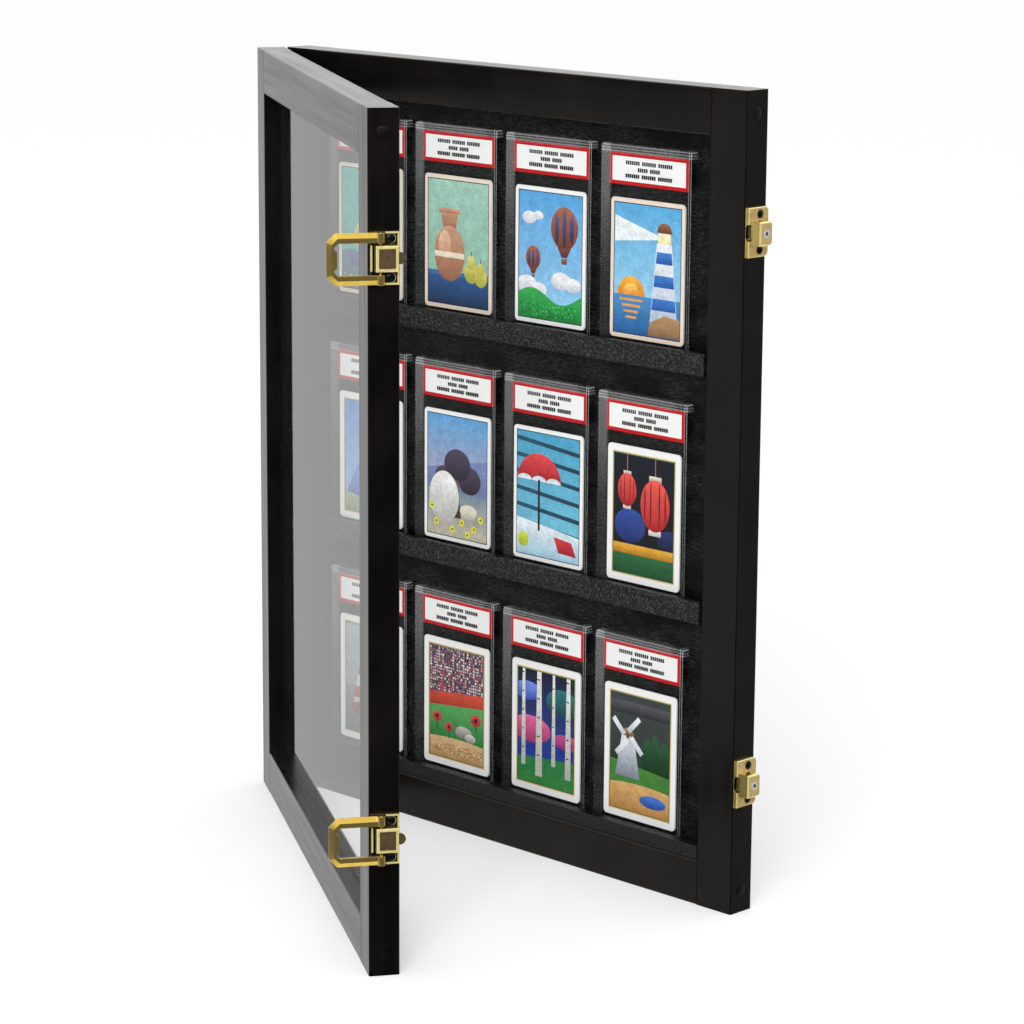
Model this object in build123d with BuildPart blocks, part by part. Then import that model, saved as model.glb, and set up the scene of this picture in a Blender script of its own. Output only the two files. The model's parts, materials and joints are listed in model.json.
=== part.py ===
from build123d import *

import os
from collections import namedtuple

# A wall display cabinet for graded trading cards. The cabinet is a shallow butt-jointed frame with a
# back panel, two shelves and a bottom ledge, and holds three rows of four sealed card holders. A
# glazed door hangs on its left side and closes with two loop latches over two locks on the right.
#
# Millimetres. The origin is the middle of the cabinet's underside, +Z is up, and the cabinet faces -Y.
# Door pieces are drawn with the door shut, on planes that the open door carries round its hinges.

# ---- Cabinet and door frames ----
cabinet_width = 445.0
cabinet_height = 556.0
cabinet_depth = 21.0
door_thickness = 20.0
frame_face = 31.0  # width of every stile and rail, seen from the front
arris = 0.6  # bevel of the long edges
door_gap = 0.4  # air between the shut door and the cabinet
open_angle = 32.5  # how far the door stands open

# ---- Frame joints: one long screw under a wooden plug at each end of each stile ----
plug_radius = 4.8
plug_length = 6.0
frame_screw_length = 50.0
frame_screw_radius = 2.0
frame_screw_head = 4.0
frame_screw_head_height = 3.0
wood_play = 0.05  # between a screw, pin or plug and its hole
plug_sides = 12  # plugs and visible screw heads are drawn with this many sides
shank_sides = 6  # hidden shanks, pins and their holes with this many

# ---- Back panel ----
panel_thickness = 4.0
panel_recess = 2.0  # the panel lies this far in from the back
panel_rebate = 7.0  # how far the frame laps the panel
panel_play = 0.5
panel_screw_length = 14.0
panel_screw_radius = 1.5
panel_screw_head = 3.0
panel_screw_head_height = 1.8
panel_screw_inset = 3.6  # from the edge of the rebate
stile_screw_count = 3
rail_screw_count = 2
stile_screw_end = 39.5  # outermost screws to the opening's corners, along a stile
rail_screw_end = 53.6  # and along a rail

# ---- Shelves and bottom ledge ----
shelf_thickness = 15.0
shelf_setback = 3.0  # from the cabinet's front
shelf_end_gap = 5.0  # to each stile
shelf_round = 0.9
row_base = 41.0  # top of the bottom ledge
headroom = 13.5  # above the top row's holders, and the least above any
ledge_setback = 0.5
ledge_end_gap = 0.8
seat_depth = 4.0  # the holders stand in a step this deep
seat_play = 0.3  # in front of and behind a holder
shelf_screw_count = 2  # per shelf
shelf_screw_reach = 120.0  # from the middle of the shelf
brad_radius = 0.8
brad_set = 1.0  # how deep a brad's head is punched in
brad_rise = 3.4  # above the ledge's underside
brad_insets = (14.0, 44.0)  # from each end of the ledge
brad_length = 16.0

# ---- Card holders, cards and labels ----
holder_width = 82.5
holder_height = 136.5
holder_thickness = 6.35
holder_corner = 3.0
holder_gap = 8.3  # to the next holder
holder_rim = 3.6  # raised border round each face
holder_dish = 0.5  # how deep the faces lie below that border
card_inset = 7.7  # from the holder's sides
card_thickness = 1.0
card_corner = 1.6  # cut off each corner
card_rise = 5.2  # above the holder's bottom
label_inset = 5.5  # from the holder's sides
label_height = 21.5
label_thickness = 0.5
label_drop = 6.0  # below the holder's top
label_gap = 8.8  # between a label and its card
insert_play = 0.25  # round a card or label in its pocket

# ---- Glazing ----
pane_thickness = 3.0
pane_setback = 9.7  # behind the door's outer face
pane_rebate = 8.0
pane_play = 0.5
bead_play = 0.1
bead_pin_radius = 0.6
bead_pin_length = 15.0
upright_bead_pin_count = 3
level_bead_pin_count = 2
upright_bead_pin_end = 49.4  # outermost pins to the opening's corners, along an upright bead
level_bead_pin_end = 68.9  # and along a level one

# ---- Butt hinges ----
hinge_from_end = 90.0  # middle of a hinge to the nearer end of the frame
hinge_length = 50.0
leaf_width = 18.0
leaf_thickness = 1.6
knuckle_count = 5
knuckle_radius = 2.5
knuckle_gap = 0.3
barrel_clear = 0.3  # barrel to the frames' sides
hinge_pin_radius = 1.25
hinge_pin_play = 0.05
hinge_screw_count = 3
hinge_screw_inset = 11.0
hinge_screw_end = 8.0  # outermost screws to the leaf's ends
hinge_screw_length = 12.0

# ---- Screws of the hinges, latches and locks, all countersunk ----
small_screw_head = 3.0
small_screw_radius = 1.4
metal_play = 0.1  # between a screw and the hole in its plate

# ---- Latch bases and loops, on the door's free edge ----
latch_from_end = 92.0  # middle of a latch to the nearer end of the frame
latch_plate_height = 33.0
latch_plate_width = 18.2
latch_plate_thickness = 1.6
latch_plate_inset = 0.6  # from the door's inner face
latch_box_height = 16.2
latch_box_width = 14.4
latch_box_inset = 1.6  # from the door's inner face
latch_box_rise = 6.8  # above the door's edge
latch_box_bevel = 0.7
latch_box_rim = 1.2
latch_box_dish = 0.6
latch_rib_width = 1.2
latch_rib_rise = 1.3
latch_tray_width = 8.8  # the plate's raised border, from its inner edge
latch_tray_rim = 1.2
latch_tray_rise = 0.8
tongue_radius = 3.7
tongue_reach = 3.4  # past the door's inner face
tongue_thickness = 1.2
tongue_rise = 2.8  # its middle, above the door's edge
tongue_root = 1.0  # how far it runs into the box
latch_pin_radius = 0.8
latch_pin_play = 0.05
latch_pin_end = 0.4  # how far a pin's ends stand out of the loop
latch_screw_inset = 5.6  # from the door's inner face
latch_screw_rise = 12.1  # from the latch's middle
latch_screw_length = 12.0
loop_pivot_inset = 12.75  # from the door's inner face
loop_reach = 33.7  # pivot to the loop's outer end
loop_height = 32.4
loop_opening = 20.0
loop_bar = 4.8  # width of the end bar
loop_lip_reach = 1.7
loop_lip_height = 13.6
loop_cut = 5.5  # the outer end's cut corners
loop_inner_cut = 2.2  # the opening's cut corners
loop_lift = 3.5  # underside above the door's edge
loop_hem = 0.6  # upright edge below the slopes
loop_ridge = 2.1  # height of the slope round its outside
loop_slope = 56.0  # that slope's lean, from upright
loop_eye = 2.6  # radius of the arms' rolled ends, round the pivot

# ---- Lock cases and their plugs, on the cabinet's right side ----
case_height = 32.8
case_width = 19.4
case_inset = 0.6  # from the cabinet's front
case_corner = 3.4
case_plate = 3.2
case_edge = 0.5  # bevel round the plate
lock_box_height = 16.0
lock_box_start = 1.7  # its front wall, from the cabinet's front
lock_box_width = 12.4
lock_box_rise = 12.2
lock_box_bevel = 1.0
lock_box_corner = 2.4
slot_width = 5.2  # the tongue's slot
slot_height = 11.0
tongue_play = 0.5  # behind the tongue
lock_plug_radius = 3.0
lock_plug_play = 0.05
lock_plug_depth = 4.6
lock_plug_proud = 0.2
lock_plug_end_play = 0.3
keyhole_eye = 1.1
keyhole_width = 1.1
keyhole_span = 2.1
keyhole_depth = 2.6
case_screw_inset = 11.6  # from the cabinet's front
case_screw_rise = 11.8  # from the lock's middle
case_screw_length = 12.0

# ---- Keyhole slots in the back of the top rail, for two screws in a wall ----
hanger_spacing = 300.0
hanger_drop = 17.0  # entry hole below the cabinet's top
hanger_entry = 4.0
hanger_neck = 2.2
hanger_travel = 8.0
hanger_depth = 10.0
hanger_lip = 3.0

# ---- What follows from these sizes ----
half_width = cabinet_width / 2
middle_z = cabinet_height / 2
face_y = -cabinet_depth / 2
back_y = cabinet_depth / 2
door_back_y = face_y - door_gap
door_front_y = door_back_y - door_thickness
opening_width = cabinet_width - 2 * frame_face
opening_height = cabinet_height - 2 * frame_face
panel_back_y = back_y - panel_recess
panel_front_y = panel_back_y - panel_thickness
shelf_length = opening_width - 2 * shelf_end_gap
holder_back_y = panel_front_y - seat_play / 2
holder_front_y = holder_back_y - holder_thickness
seat_front_y = holder_front_y - seat_play
top_row_level = cabinet_height - frame_face - headroom - holder_height + seat_depth
least_row_pitch = holder_height + headroom - seat_depth + shelf_thickness
row_count = 1 + int((top_row_level - row_base) // least_row_pitch)  # as many rows as fit
row_pitch = (top_row_level - row_base) / max(row_count - 1, 1)
row_tops = [row_base + row * row_pitch for row in range(row_count)]
holder_pitch = holder_width + holder_gap
holder_columns = int((shelf_length + holder_gap) // holder_pitch)  # as many as a shelf holds
card_width = holder_width - 2 * card_inset
card_height = holder_height - card_rise - label_gap - label_height - label_drop
label_width = holder_width - 2 * label_inset
level_names = ("lower", "upper")
hinge_levels = (hinge_from_end, cabinet_height - hinge_from_end)
latch_levels = (latch_from_end, cabinet_height - latch_from_end)
hinge_x = -half_width - barrel_clear - knuckle_radius
hinge_y = (face_y + door_back_y) / 2
pane_front_y = door_front_y + pane_setback
pane_back_y = pane_front_y + pane_thickness
pivot_x = half_width + loop_lift + (loop_hem + loop_ridge) / 2
pivot_y = door_back_y - loop_pivot_inset
head_slope = 45.0
small_head_height = small_screw_head - small_screw_radius
screw_seat = plug_length + frame_screw_head_height
rail_levels = (frame_face / 2, cabinet_height - frame_face / 2)

swing = Pos(hinge_x, hinge_y, 0) * Rot(0, 0, -open_angle) * Pos(-hinge_x, -hinge_y, 0)

os.makedirs("parts", exist_ok=True)


def in_cabinet(plane):
    """The cabinet's pieces stay on the planes they are drawn on."""
    return plane


def on_door(plane):
    """The same plane, carried round the hinges by the open door."""
    return Plane(swing * plane.location)


def side_plane(x, y, z, side=1):
    """A plane facing out of the right side, or of the left for -1, with its own x towards +Y or -Y."""
    return Plane(origin=(x, y, z), x_dir=(0, side, 0), z_dir=(side, 0, 0))


def save(builder, label):
    """Name a finished piece and write it."""
    builder.part.label = label
    export_step(builder.part, f"parts/{label}.step")


def spread(count, half_span):
    """Evenly spaced places from -half_span to half_span."""
    return [half_span * (2 * i / (count - 1) - 1) for i in range(count)]


def shank_outline(planes, radius):
    """Outlines of hidden shanks and pins, or of the holes for them."""
    with BuildSketch(*planes) as outline:
        RegularPolygon(radius, shank_sides)
    return outline.sketch


def head_outline(planes, radius):
    """Outlines of plugs and screw heads, or of the recesses for them."""
    with BuildSketch(*planes) as outline:
        RegularPolygon(radius, plug_sides)
    return outline.sketch


def bore_shanks(planes, radius, depth):
    """Holes for shanks or pins of a radius, cut into the piece being built."""
    extrude(shank_outline(planes, radius + wood_play), amount=-depth, mode=Mode.SUBTRACT)


def sink_screws(planes):
    """Countersunk holes for the small screws, cut through the plate being built."""
    mouth = head_outline(planes, small_screw_head + metal_play)
    extrude(mouth, amount=-small_head_height, taper=head_slope, mode=Mode.SUBTRACT)
    shanks = shank_outline(planes, small_screw_radius + metal_play)
    extrude(shanks, amount=-case_plate, mode=Mode.SUBTRACT)


def make_plain_screws(planes, length, radius, head_radius, head_height):
    """Screws that point into the given planes, with heads that stand on them."""
    with BuildPart() as screws:
        extrude(shank_outline(planes, radius), amount=-length)
        extrude(shank_outline(planes, head_radius), amount=head_height)
    return screws


def make_sunk_screws(planes, length):
    """Small countersunk screws, with their heads flush with the given planes."""
    with BuildPart() as screws:
        extrude(shank_outline(planes, small_screw_radius), amount=-length)
        extrude(head_outline(planes, small_screw_head), amount=-small_head_height, taper=head_slope)
    return screws


# ---- Butt-jointed frames: the cabinet's and the door's share one construction ----
Frame = namedtuple("Frame", "front_y depth lip rebate place")
cabinet_frame = Frame(face_y, cabinet_depth, panel_front_y - face_y, panel_rebate, in_cabinet)
door_frame = Frame(door_front_y, door_thickness, pane_setback, pane_rebate, on_door)


def joint_plane(frame, side, level, depth=0.0):
    """Where a long screw enters a stile, or depth behind it: side is -1 on the left, 1 on the right."""
    mid_y = frame.front_y + frame.depth / 2
    return frame.place(side_plane(side * (half_width - depth), mid_y, level, side))


def rebate_outline(frame):
    """The outline of the rebate for a frame's panel or pane, on its shoulder."""
    with BuildSketch(frame.place(Plane.XZ.offset(-frame.front_y - frame.lip))) as outline:
        with Locations((0, middle_z)):
            Rectangle(opening_width + 2 * frame.rebate, opening_height + 2 * frame.rebate)
    return outline.sketch


def make_stile(frame, side, pilots, pilot_radius, pilot_depth):
    """A full-height upright, rebated for the panel and bored for the screws into the rails."""
    with BuildPart() as stile:
        with BuildSketch(frame.place(Plane.XY)) as section:
            with Locations((side * (half_width - frame_face / 2), frame.front_y + frame.depth / 2)):
                Rectangle(frame_face, frame.depth)
            chamfer(section.vertices(), arris)
        extrude(amount=cabinet_height)
        extrude(rebate_outline(frame), amount=frame.lip - frame.depth, mode=Mode.SUBTRACT)
        joints = [joint_plane(frame, side, level) for level in rail_levels]
        extrude(head_outline(joints, plug_radius + wood_play), amount=-screw_seat, mode=Mode.SUBTRACT)
        bore_shanks(joints, frame_screw_radius, frame_face)
        bore_shanks(pilots, pilot_radius, pilot_depth)
    return stile


def make_rail(frame, end, pilots, pilot_radius, pilot_depth):
    """A level member between the stiles: end is -1 at the bottom and 1 at the top."""
    level = rail_levels[max(end, 0)]
    with BuildPart() as rail:
        with BuildSketch(frame.place(Plane.YZ.offset(-opening_width / 2))) as section:
            with Locations((frame.front_y + frame.depth / 2, level)):
                Rectangle(frame.depth, frame_face)
            chamfer(section.vertices(), arris)
        extrude(amount=opening_width)
        extrude(rebate_outline(frame), amount=frame.lip - frame.depth, mode=Mode.SUBTRACT)
        joints = [joint_plane(frame, side, level, frame_face) for side in (-1, 1)]
        bore_shanks(joints, frame_screw_radius, screw_seat + frame_screw_length - frame_face)
        bore_shanks(pilots, pilot_radius, pilot_depth)
    return rail


def frame_fasteners(frame):
    """The plugs in a frame's sides, and the long screws under them."""
    corners = [(side, level) for side in (-1, 1) for level in rail_levels]
    mouths = [joint_plane(frame, side, level) for side, level in corners]
    with BuildPart() as plugs:
        extrude(head_outline(mouths, plug_radius), amount=-plug_length)
    seats = [joint_plane(frame, side, level, screw_seat) for side, level in corners]
    screws = make_plain_screws(
        seats, frame_screw_length, frame_screw_radius, frame_screw_head, frame_screw_head_height
    )
    return plugs, screws


# ---- Screws that hold the back panel in its rebate, and the shelves on the panel ----
screw_line_x = opening_width / 2 + panel_rebate - panel_screw_inset
screw_line_z = opening_height / 2 + panel_rebate - panel_screw_inset
screws_up = spread(stile_screw_count, opening_height / 2 - stile_screw_end)
screws_across = spread(rail_screw_count, opening_width / 2 - rail_screw_end)


def back_plane(x, y, z):
    """A plane facing out of the back."""
    return Plane(origin=(x, y, z), x_dir=(-1, 0, 0), z_dir=(0, 1, 0))


def stile_screw_planes(side, y):
    """Panel screws along one stile."""
    return [back_plane(side * screw_line_x, y, middle_z + z) for z in screws_up]


def rail_screw_planes(end, y):
    """Panel screws along one rail."""
    return [back_plane(x, y, middle_z + end * screw_line_z) for x in screws_across]


def shelf_screw_planes(top, y):
    """Screws from behind into one shelf, midway up its back."""
    level = top - (shelf_thickness + seat_depth) / 2
    return [back_plane(x, y, level) for x in spread(shelf_screw_count, shelf_screw_reach)]


panel_screw_depth = panel_screw_length - panel_thickness
panel_screw_planes = [
    plane
    for side in (-1, 1)
    for plane in stile_screw_planes(side, panel_back_y) + rail_screw_planes(side, panel_back_y)
]
all_shelf_screw_planes = [p for top in row_tops[1:] for p in shelf_screw_planes(top, panel_back_y)]

# ---- Cabinet frame ----
leaf_screw_z = spread(hinge_screw_count, hinge_length / 2 - hinge_screw_end)
leaf_screw_x = -half_width + hinge_screw_inset


def leaf_mortise(plane_y, place):
    """The outline of both leaves' mortises, on the face they are let into."""
    with BuildSketch(place(Plane.XZ.offset(-plane_y))) as outline:
        with Locations(*[(-half_width + leaf_width / 2, z) for z in hinge_levels]):
            Rectangle(leaf_width, hinge_length)
    return outline.sketch


def leaf_screw_planes(place, face, into, levels=hinge_levels):
    """Where a leaf's screws enter it, on the face it is let into: into is the way into the wood."""
    return [
        place(Plane(origin=(leaf_screw_x, face, level + z), x_dir=(1, 0, 0), z_dir=(0, -into, 0)))
        for level in levels
        for z in leaf_screw_z
    ]


cabinet_leaf_screws = leaf_screw_planes(in_cabinet, face_y, 1)
door_leaf_screws = leaf_screw_planes(on_door, door_back_y, -1)

cabinet_stiles = {}
for side, name in ((-1, "left"), (1, "right")):
    pilots = stile_screw_planes(side, panel_front_y)
    stile = make_stile(cabinet_frame, side, pilots, panel_screw_radius, panel_screw_depth)
    cabinet_stiles[name] = stile

with cabinet_stiles["left"]:
    extrude(leaf_mortise(face_y, in_cabinet), amount=-leaf_thickness, mode=Mode.SUBTRACT)
    bore_shanks(cabinet_leaf_screws, small_screw_radius, hinge_screw_length)


def lock_screw_planes(levels=latch_levels):
    """Where the screws enter the lock cases' plates, above and below each lock."""
    return [
        side_plane(half_width + case_plate, face_y + case_screw_inset, level + turn * case_screw_rise)
        for level in levels
        for turn in (-1, 1)
    ]


with cabinet_stiles["right"]:
    bore_shanks(lock_screw_planes(), small_screw_radius, case_screw_length)

for name, stile in cabinet_stiles.items():
    save(stile, f"cabinet_stile_{name}")

def hanger_outline(x, radius, depth):
    """A hanging slot as wide as radius allows, at a depth in the top rail's back."""
    with BuildSketch(back_plane(x, back_y - depth, cabinet_height - hanger_drop)) as outline:
        with Locations((0, hanger_travel / 2)):
            SlotCenterToCenter(hanger_travel, 2 * radius, rotation=90)
    return outline.sketch


cabinet_rails = {}
for end, name in ((-1, "bottom"), (1, "top")):
    pilots = rail_screw_planes(end, panel_front_y)
    rail = make_rail(cabinet_frame, end, pilots, panel_screw_radius, panel_screw_depth)
    cabinet_rails[name] = rail

with cabinet_rails["top"]:
    for x in spread(2, hanger_spacing / 2):
        extrude(hanger_outline(x, hanger_neck, 0), amount=-hanger_depth, mode=Mode.SUBTRACT)
        under_lip = hanger_lip - hanger_depth
        extrude(hanger_outline(x, hanger_entry, hanger_lip), amount=under_lip, mode=Mode.SUBTRACT)
        with BuildSketch(back_plane(x, back_y, cabinet_height - hanger_drop)) as entry:
            Circle(hanger_entry)
        extrude(entry.sketch, amount=-hanger_depth, mode=Mode.SUBTRACT)

for name, rail in cabinet_rails.items():
    save(rail, f"cabinet_rail_{name}")

cabinet_plugs, cabinet_frame_screws = frame_fasteners(cabinet_frame)
save(cabinet_plugs, "cabinet_screw_plugs")
save(cabinet_frame_screws, "cabinet_frame_screws")

# ---- Bottom ledge, shelves and back panel ----
ledge_front_y = face_y + ledge_setback
ledge_length = opening_width - 2 * ledge_end_gap
brad_x = [turn * (ledge_length / 2 - inset) for turn in (-1, 1) for inset in brad_insets]
brad_z = frame_face + brad_rise


def brad_planes(y):
    """Where the brads enter the ledge's front."""
    return [Plane(origin=(x, y, brad_z), x_dir=(1, 0, 0), z_dir=(0, -1, 0)) for x in brad_x]


def make_shelf(front_y, bottom_z, top_z, length):
    """A level strip on the back panel, with a step along its back for the holders to stand in."""
    step_z = top_z - seat_depth
    with BuildPart() as shelf:
        with BuildSketch(Plane.YZ.offset(-length / 2)):
            with BuildLine():
                Polyline(
                    (front_y, bottom_z),
                    (panel_front_y, bottom_z),
                    (panel_front_y, step_z),
                    (seat_front_y, step_z),
                    (seat_front_y, top_z),
                    (front_y, top_z),
                    close=True,
                )
            make_face()
        extrude(amount=length)
        front_edges = shelf.edges().filter_by(Axis.X).group_by(Axis.Y)[0]
        fillet(front_edges, shelf_round)
    return shelf


bottom_ledge = make_shelf(ledge_front_y, frame_face, row_tops[0], ledge_length)
with bottom_ledge:
    bore_shanks(brad_planes(ledge_front_y), brad_radius, panel_front_y - ledge_front_y)
save(bottom_ledge, "bottom_ledge")

for number, top in enumerate(row_tops[1:], start=1):
    shelf = make_shelf(face_y + shelf_setback, top - shelf_thickness, top, shelf_length)
    with shelf:
        bore_shanks(shelf_screw_planes(top, panel_front_y), panel_screw_radius, panel_screw_depth)
    save(shelf, f"shelf_{number}")

with BuildPart() as back_panel:
    with BuildSketch(Plane.XZ.offset(-panel_front_y)):
        with Locations((0, middle_z)):
            Rectangle(
                opening_width + 2 * (panel_rebate - panel_play),
                opening_height + 2 * (panel_rebate - panel_play),
            )
    extrude(amount=-panel_thickness)
    bore_shanks(panel_screw_planes + all_shelf_screw_planes, panel_screw_radius, panel_thickness)
    bore_shanks(brad_planes(panel_front_y), brad_radius, panel_thickness)
save(back_panel, "back_panel")

for planes, label in ((panel_screw_planes, "back_panel_screws"), (all_shelf_screw_planes, "shelf_screws")):
    screws = make_plain_screws(
        planes, panel_screw_length, panel_screw_radius, panel_screw_head, panel_screw_head_height
    )
    save(screws, label)

with BuildPart() as ledge_brads:
    extrude(shank_outline(brad_planes(ledge_front_y + brad_set), brad_radius), amount=-brad_length)
save(ledge_brads, "ledge_brads")

# ---- Card holders with their cards and labels ----
first_holder_x = -shelf_length / 2 + holder_width / 2
column_x = [first_holder_x + column * holder_pitch for column in range(holder_columns)]
holder_mid_y = (holder_front_y + holder_back_y) / 2
card_mid_z = card_rise + card_height / 2
label_mid_z = holder_height - label_drop - label_height / 2


def insert(outline_width, outline_height, thickness, corner, x, z):
    """A card or label standing midway between the faces of a holder."""
    with BuildPart() as piece:
        with BuildSketch(Plane.XZ.offset(thickness / 2 - holder_mid_y)) as outline:
            with Locations((x, z)):
                Rectangle(outline_width, outline_height)
            if corner:
                chamfer(outline.vertices(), corner)
        extrude(amount=-thickness)
    return piece.part


def make_holder(x, z):
    """A sealed clear case with its bottom middle at x, z: dished faces, a card pocket, a label pocket."""
    with BuildPart() as holder:
        with BuildSketch(Plane.XZ.offset(-holder_front_y)):
            with Locations((x, z + holder_height / 2)):
                RectangleRounded(holder_width, holder_height, holder_corner)
        extrude(amount=-holder_thickness)
        with BuildSketch(Plane.XZ.offset(-holder_front_y), Plane.XZ.offset(-holder_back_y)):
            with Locations((x, z + holder_height / 2)):
                Rectangle(holder_width - 2 * holder_rim, holder_height - 2 * holder_rim)
        extrude(amount=-holder_dish, both=True, mode=Mode.SUBTRACT)
        with Locations((x, holder_mid_y, z + card_mid_z)):
            Box(
                card_width + 2 * insert_play,
                card_thickness + 2 * insert_play,
                card_height + 2 * insert_play,
                mode=Mode.SUBTRACT,
            )
        with Locations((x, holder_mid_y, z + label_mid_z)):
            Box(
                label_width + 2 * insert_play,
                label_thickness + 2 * insert_play,
                label_height + 2 * insert_play,
                mode=Mode.SUBTRACT,
            )
    return holder


holder_places = []
for row, top in enumerate(row_tops, start=1):
    for column, x in enumerate(column_x, start=1):
        holder_places.append((x, top - seat_depth))
        save(make_holder(x, top - seat_depth), f"card_holder_row_{row}_column_{column}")

with BuildPart() as cards:
    for x, z in holder_places:
        add(insert(card_width, card_height, card_thickness, card_corner, x, z + card_mid_z))
save(cards, "cards")

with BuildPart() as card_labels:
    for x, z in holder_places:
        add(insert(label_width, label_height, label_thickness, 0, x, z + label_mid_z))
save(card_labels, "card_labels")

# ---- Door frame ----
def latch_screw_planes(levels=latch_levels):
    """Where the screws enter the latch bases' plates, above and below each latch."""
    x = half_width + latch_plate_thickness
    y = door_back_y - latch_screw_inset
    turns = (-latch_screw_rise, latch_screw_rise)
    return [on_door(side_plane(x, y, level + turn)) for level in levels for turn in turns]


bead_width = pane_rebate - bead_play
bead_depth = door_back_y - pane_back_y
bead_mid_y = (pane_back_y + door_back_y) / 2
bead_pin_z = spread(upright_bead_pin_count, opening_height / 2 - upright_bead_pin_end)
bead_pin_x = spread(level_bead_pin_count, opening_width / 2 - level_bead_pin_end)


def bead_pin_planes(axis, turn, depth):
    """Pins through one bead, as planes facing the middle of the opening, depth behind its edge."""
    if axis == "x":
        x = turn * (opening_width / 2 + depth)
        return [on_door(side_plane(x, bead_mid_y, middle_z + z, -turn)) for z in bead_pin_z]
    z = middle_z + turn * (opening_height / 2 + depth)
    return [
        on_door(Plane(origin=(x, bead_mid_y, z), x_dir=(1, 0, 0), z_dir=(0, 0, -turn)))
        for x in bead_pin_x
    ]


pin_in_frame = bead_pin_length - pane_rebate + brad_set
door_stiles = {}
for side, name in ((-1, "hinge"), (1, "latch")):
    pilots = bead_pin_planes("x", side, pane_rebate)
    door_stiles[name] = make_stile(door_frame, side, pilots, bead_pin_radius, pin_in_frame)

with door_stiles["hinge"]:
    extrude(leaf_mortise(door_back_y, on_door), amount=leaf_thickness, mode=Mode.SUBTRACT)
    bore_shanks(door_leaf_screws, small_screw_radius, hinge_screw_length)

with door_stiles["latch"]:
    bore_shanks(latch_screw_planes(), small_screw_radius, latch_screw_length)

for name, stile in door_stiles.items():
    save(stile, f"door_stile_{name}")

for end, name in ((-1, "bottom"), (1, "top")):
    pilots = bead_pin_planes("z", end, pane_rebate)
    save(
        make_rail(door_frame, end, pilots, bead_pin_radius, pin_in_frame),
        f"door_rail_{name}",
    )

door_plugs, door_frame_screws = frame_fasteners(door_frame)
save(door_plugs, "door_screw_plugs")
save(door_frame_screws, "door_frame_screws")

# ---- Pane, glazing beads and their pins ----
with BuildPart() as door_pane:
    with BuildSketch(on_door(Plane.XZ.offset(-pane_front_y))):
        with Locations((0, middle_z)):
            Rectangle(
                opening_width + 2 * (pane_rebate - pane_play),
                opening_height + 2 * (pane_rebate - pane_play),
            )
    extrude(amount=-pane_thickness)
save(door_pane, "door_pane")


def make_bead(axis, turn):
    """One mitred strip of the square moulding that holds the pane in its rebate."""
    inner_x, inner_z = opening_width / 2, opening_height / 2
    outer_x, outer_z = inner_x + bead_width, inner_z + bead_width
    if axis == "x":
        corners = [(turn * inner_x, -inner_z), (turn * outer_x, -outer_z)]
        corners += [(turn * outer_x, outer_z), (turn * inner_x, inner_z)]
    else:
        corners = [(-inner_x, turn * inner_z), (-outer_x, turn * outer_z)]
        corners += [(outer_x, turn * outer_z), (inner_x, turn * inner_z)]
    with BuildPart() as bead:
        with BuildSketch(on_door(Plane.XZ.offset(-pane_back_y))):
            with Locations((0, middle_z)):
                Polygon(*corners, align=None)
        extrude(amount=-bead_depth)
        bore_shanks(bead_pin_planes(axis, turn, 0), bead_pin_radius, bead_width)
    return bead


bead_sides = {"hinge": ("x", -1), "latch": ("x", 1), "bottom": ("z", -1), "top": ("z", 1)}
for name, (axis, turn) in bead_sides.items():
    save(make_bead(axis, turn), f"glazing_bead_{name}")

with BuildPart() as bead_pins:
    pin_planes = [p for axis, turn in bead_sides.values() for p in bead_pin_planes(axis, turn, brad_set)]
    extrude(shank_outline(pin_planes, bead_pin_radius), amount=-bead_pin_length)
save(bead_pins, "bead_pins")

# ---- Butt hinges ----
knuckle_pitch = hinge_length / knuckle_count
leaf_start_x = hinge_x + knuckle_radius + knuckle_gap


def make_leaf(level, place, face, into, first):
    """A leaf flush with a frame's face at y = face and let in towards into, with every other knuckle."""
    bottom = level - hinge_length / 2
    with BuildPart() as leaf:
        with BuildSketch(place(Plane.XY.offset(bottom))):
            with Locations(((leaf_start_x - half_width + leaf_width) / 2, face + into * leaf_thickness / 2)):
                Rectangle(-half_width + leaf_width - leaf_start_x, leaf_thickness)
        extrude(amount=hinge_length)
        for knuckle in range(first, knuckle_count, 2):
            start = bottom + knuckle * knuckle_pitch
            lower = 0 if knuckle == 0 else knuckle_gap / 2
            upper = 0 if knuckle == knuckle_count - 1 else knuckle_gap / 2
            with BuildSketch(place(Plane.XY.offset(start + lower))):
                with Locations((hinge_x, hinge_y)):
                    Circle(knuckle_radius)
                with Locations(((hinge_x + leaf_start_x) / 2, face + into * leaf_thickness / 2)):
                    Rectangle(leaf_start_x - hinge_x, leaf_thickness)
                with Locations((hinge_x, hinge_y)):
                    Circle(hinge_pin_radius + hinge_pin_play, mode=Mode.SUBTRACT)
            extrude(amount=knuckle_pitch - lower - upper)
        sink_screws(leaf_screw_planes(place, face, into, (level,)))
    return leaf


for level, name in zip(hinge_levels, level_names):
    save(make_leaf(level, in_cabinet, face_y, 1, 0), f"cabinet_hinge_leaf_{name}")
    save(make_leaf(level, on_door, door_back_y, -1, 1), f"door_hinge_leaf_{name}")
    with BuildPart() as hinge_pin:
        with BuildSketch(Plane.XY.offset(level - hinge_length / 2)):
            with Locations((hinge_x, hinge_y)):
                Circle(hinge_pin_radius)
        extrude(amount=hinge_length)
    save(hinge_pin, f"hinge_pin_{name}")

for planes, length, label in (
    (cabinet_leaf_screws, hinge_screw_length, "cabinet_hinge_screws"),
    (door_leaf_screws, hinge_screw_length, "door_hinge_screws"),
    (latch_screw_planes(), latch_screw_length, "latch_screws"),
    (lock_screw_planes(), case_screw_length, "lock_screws"),
):
    save(make_sunk_screws(planes, length), label)

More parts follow.
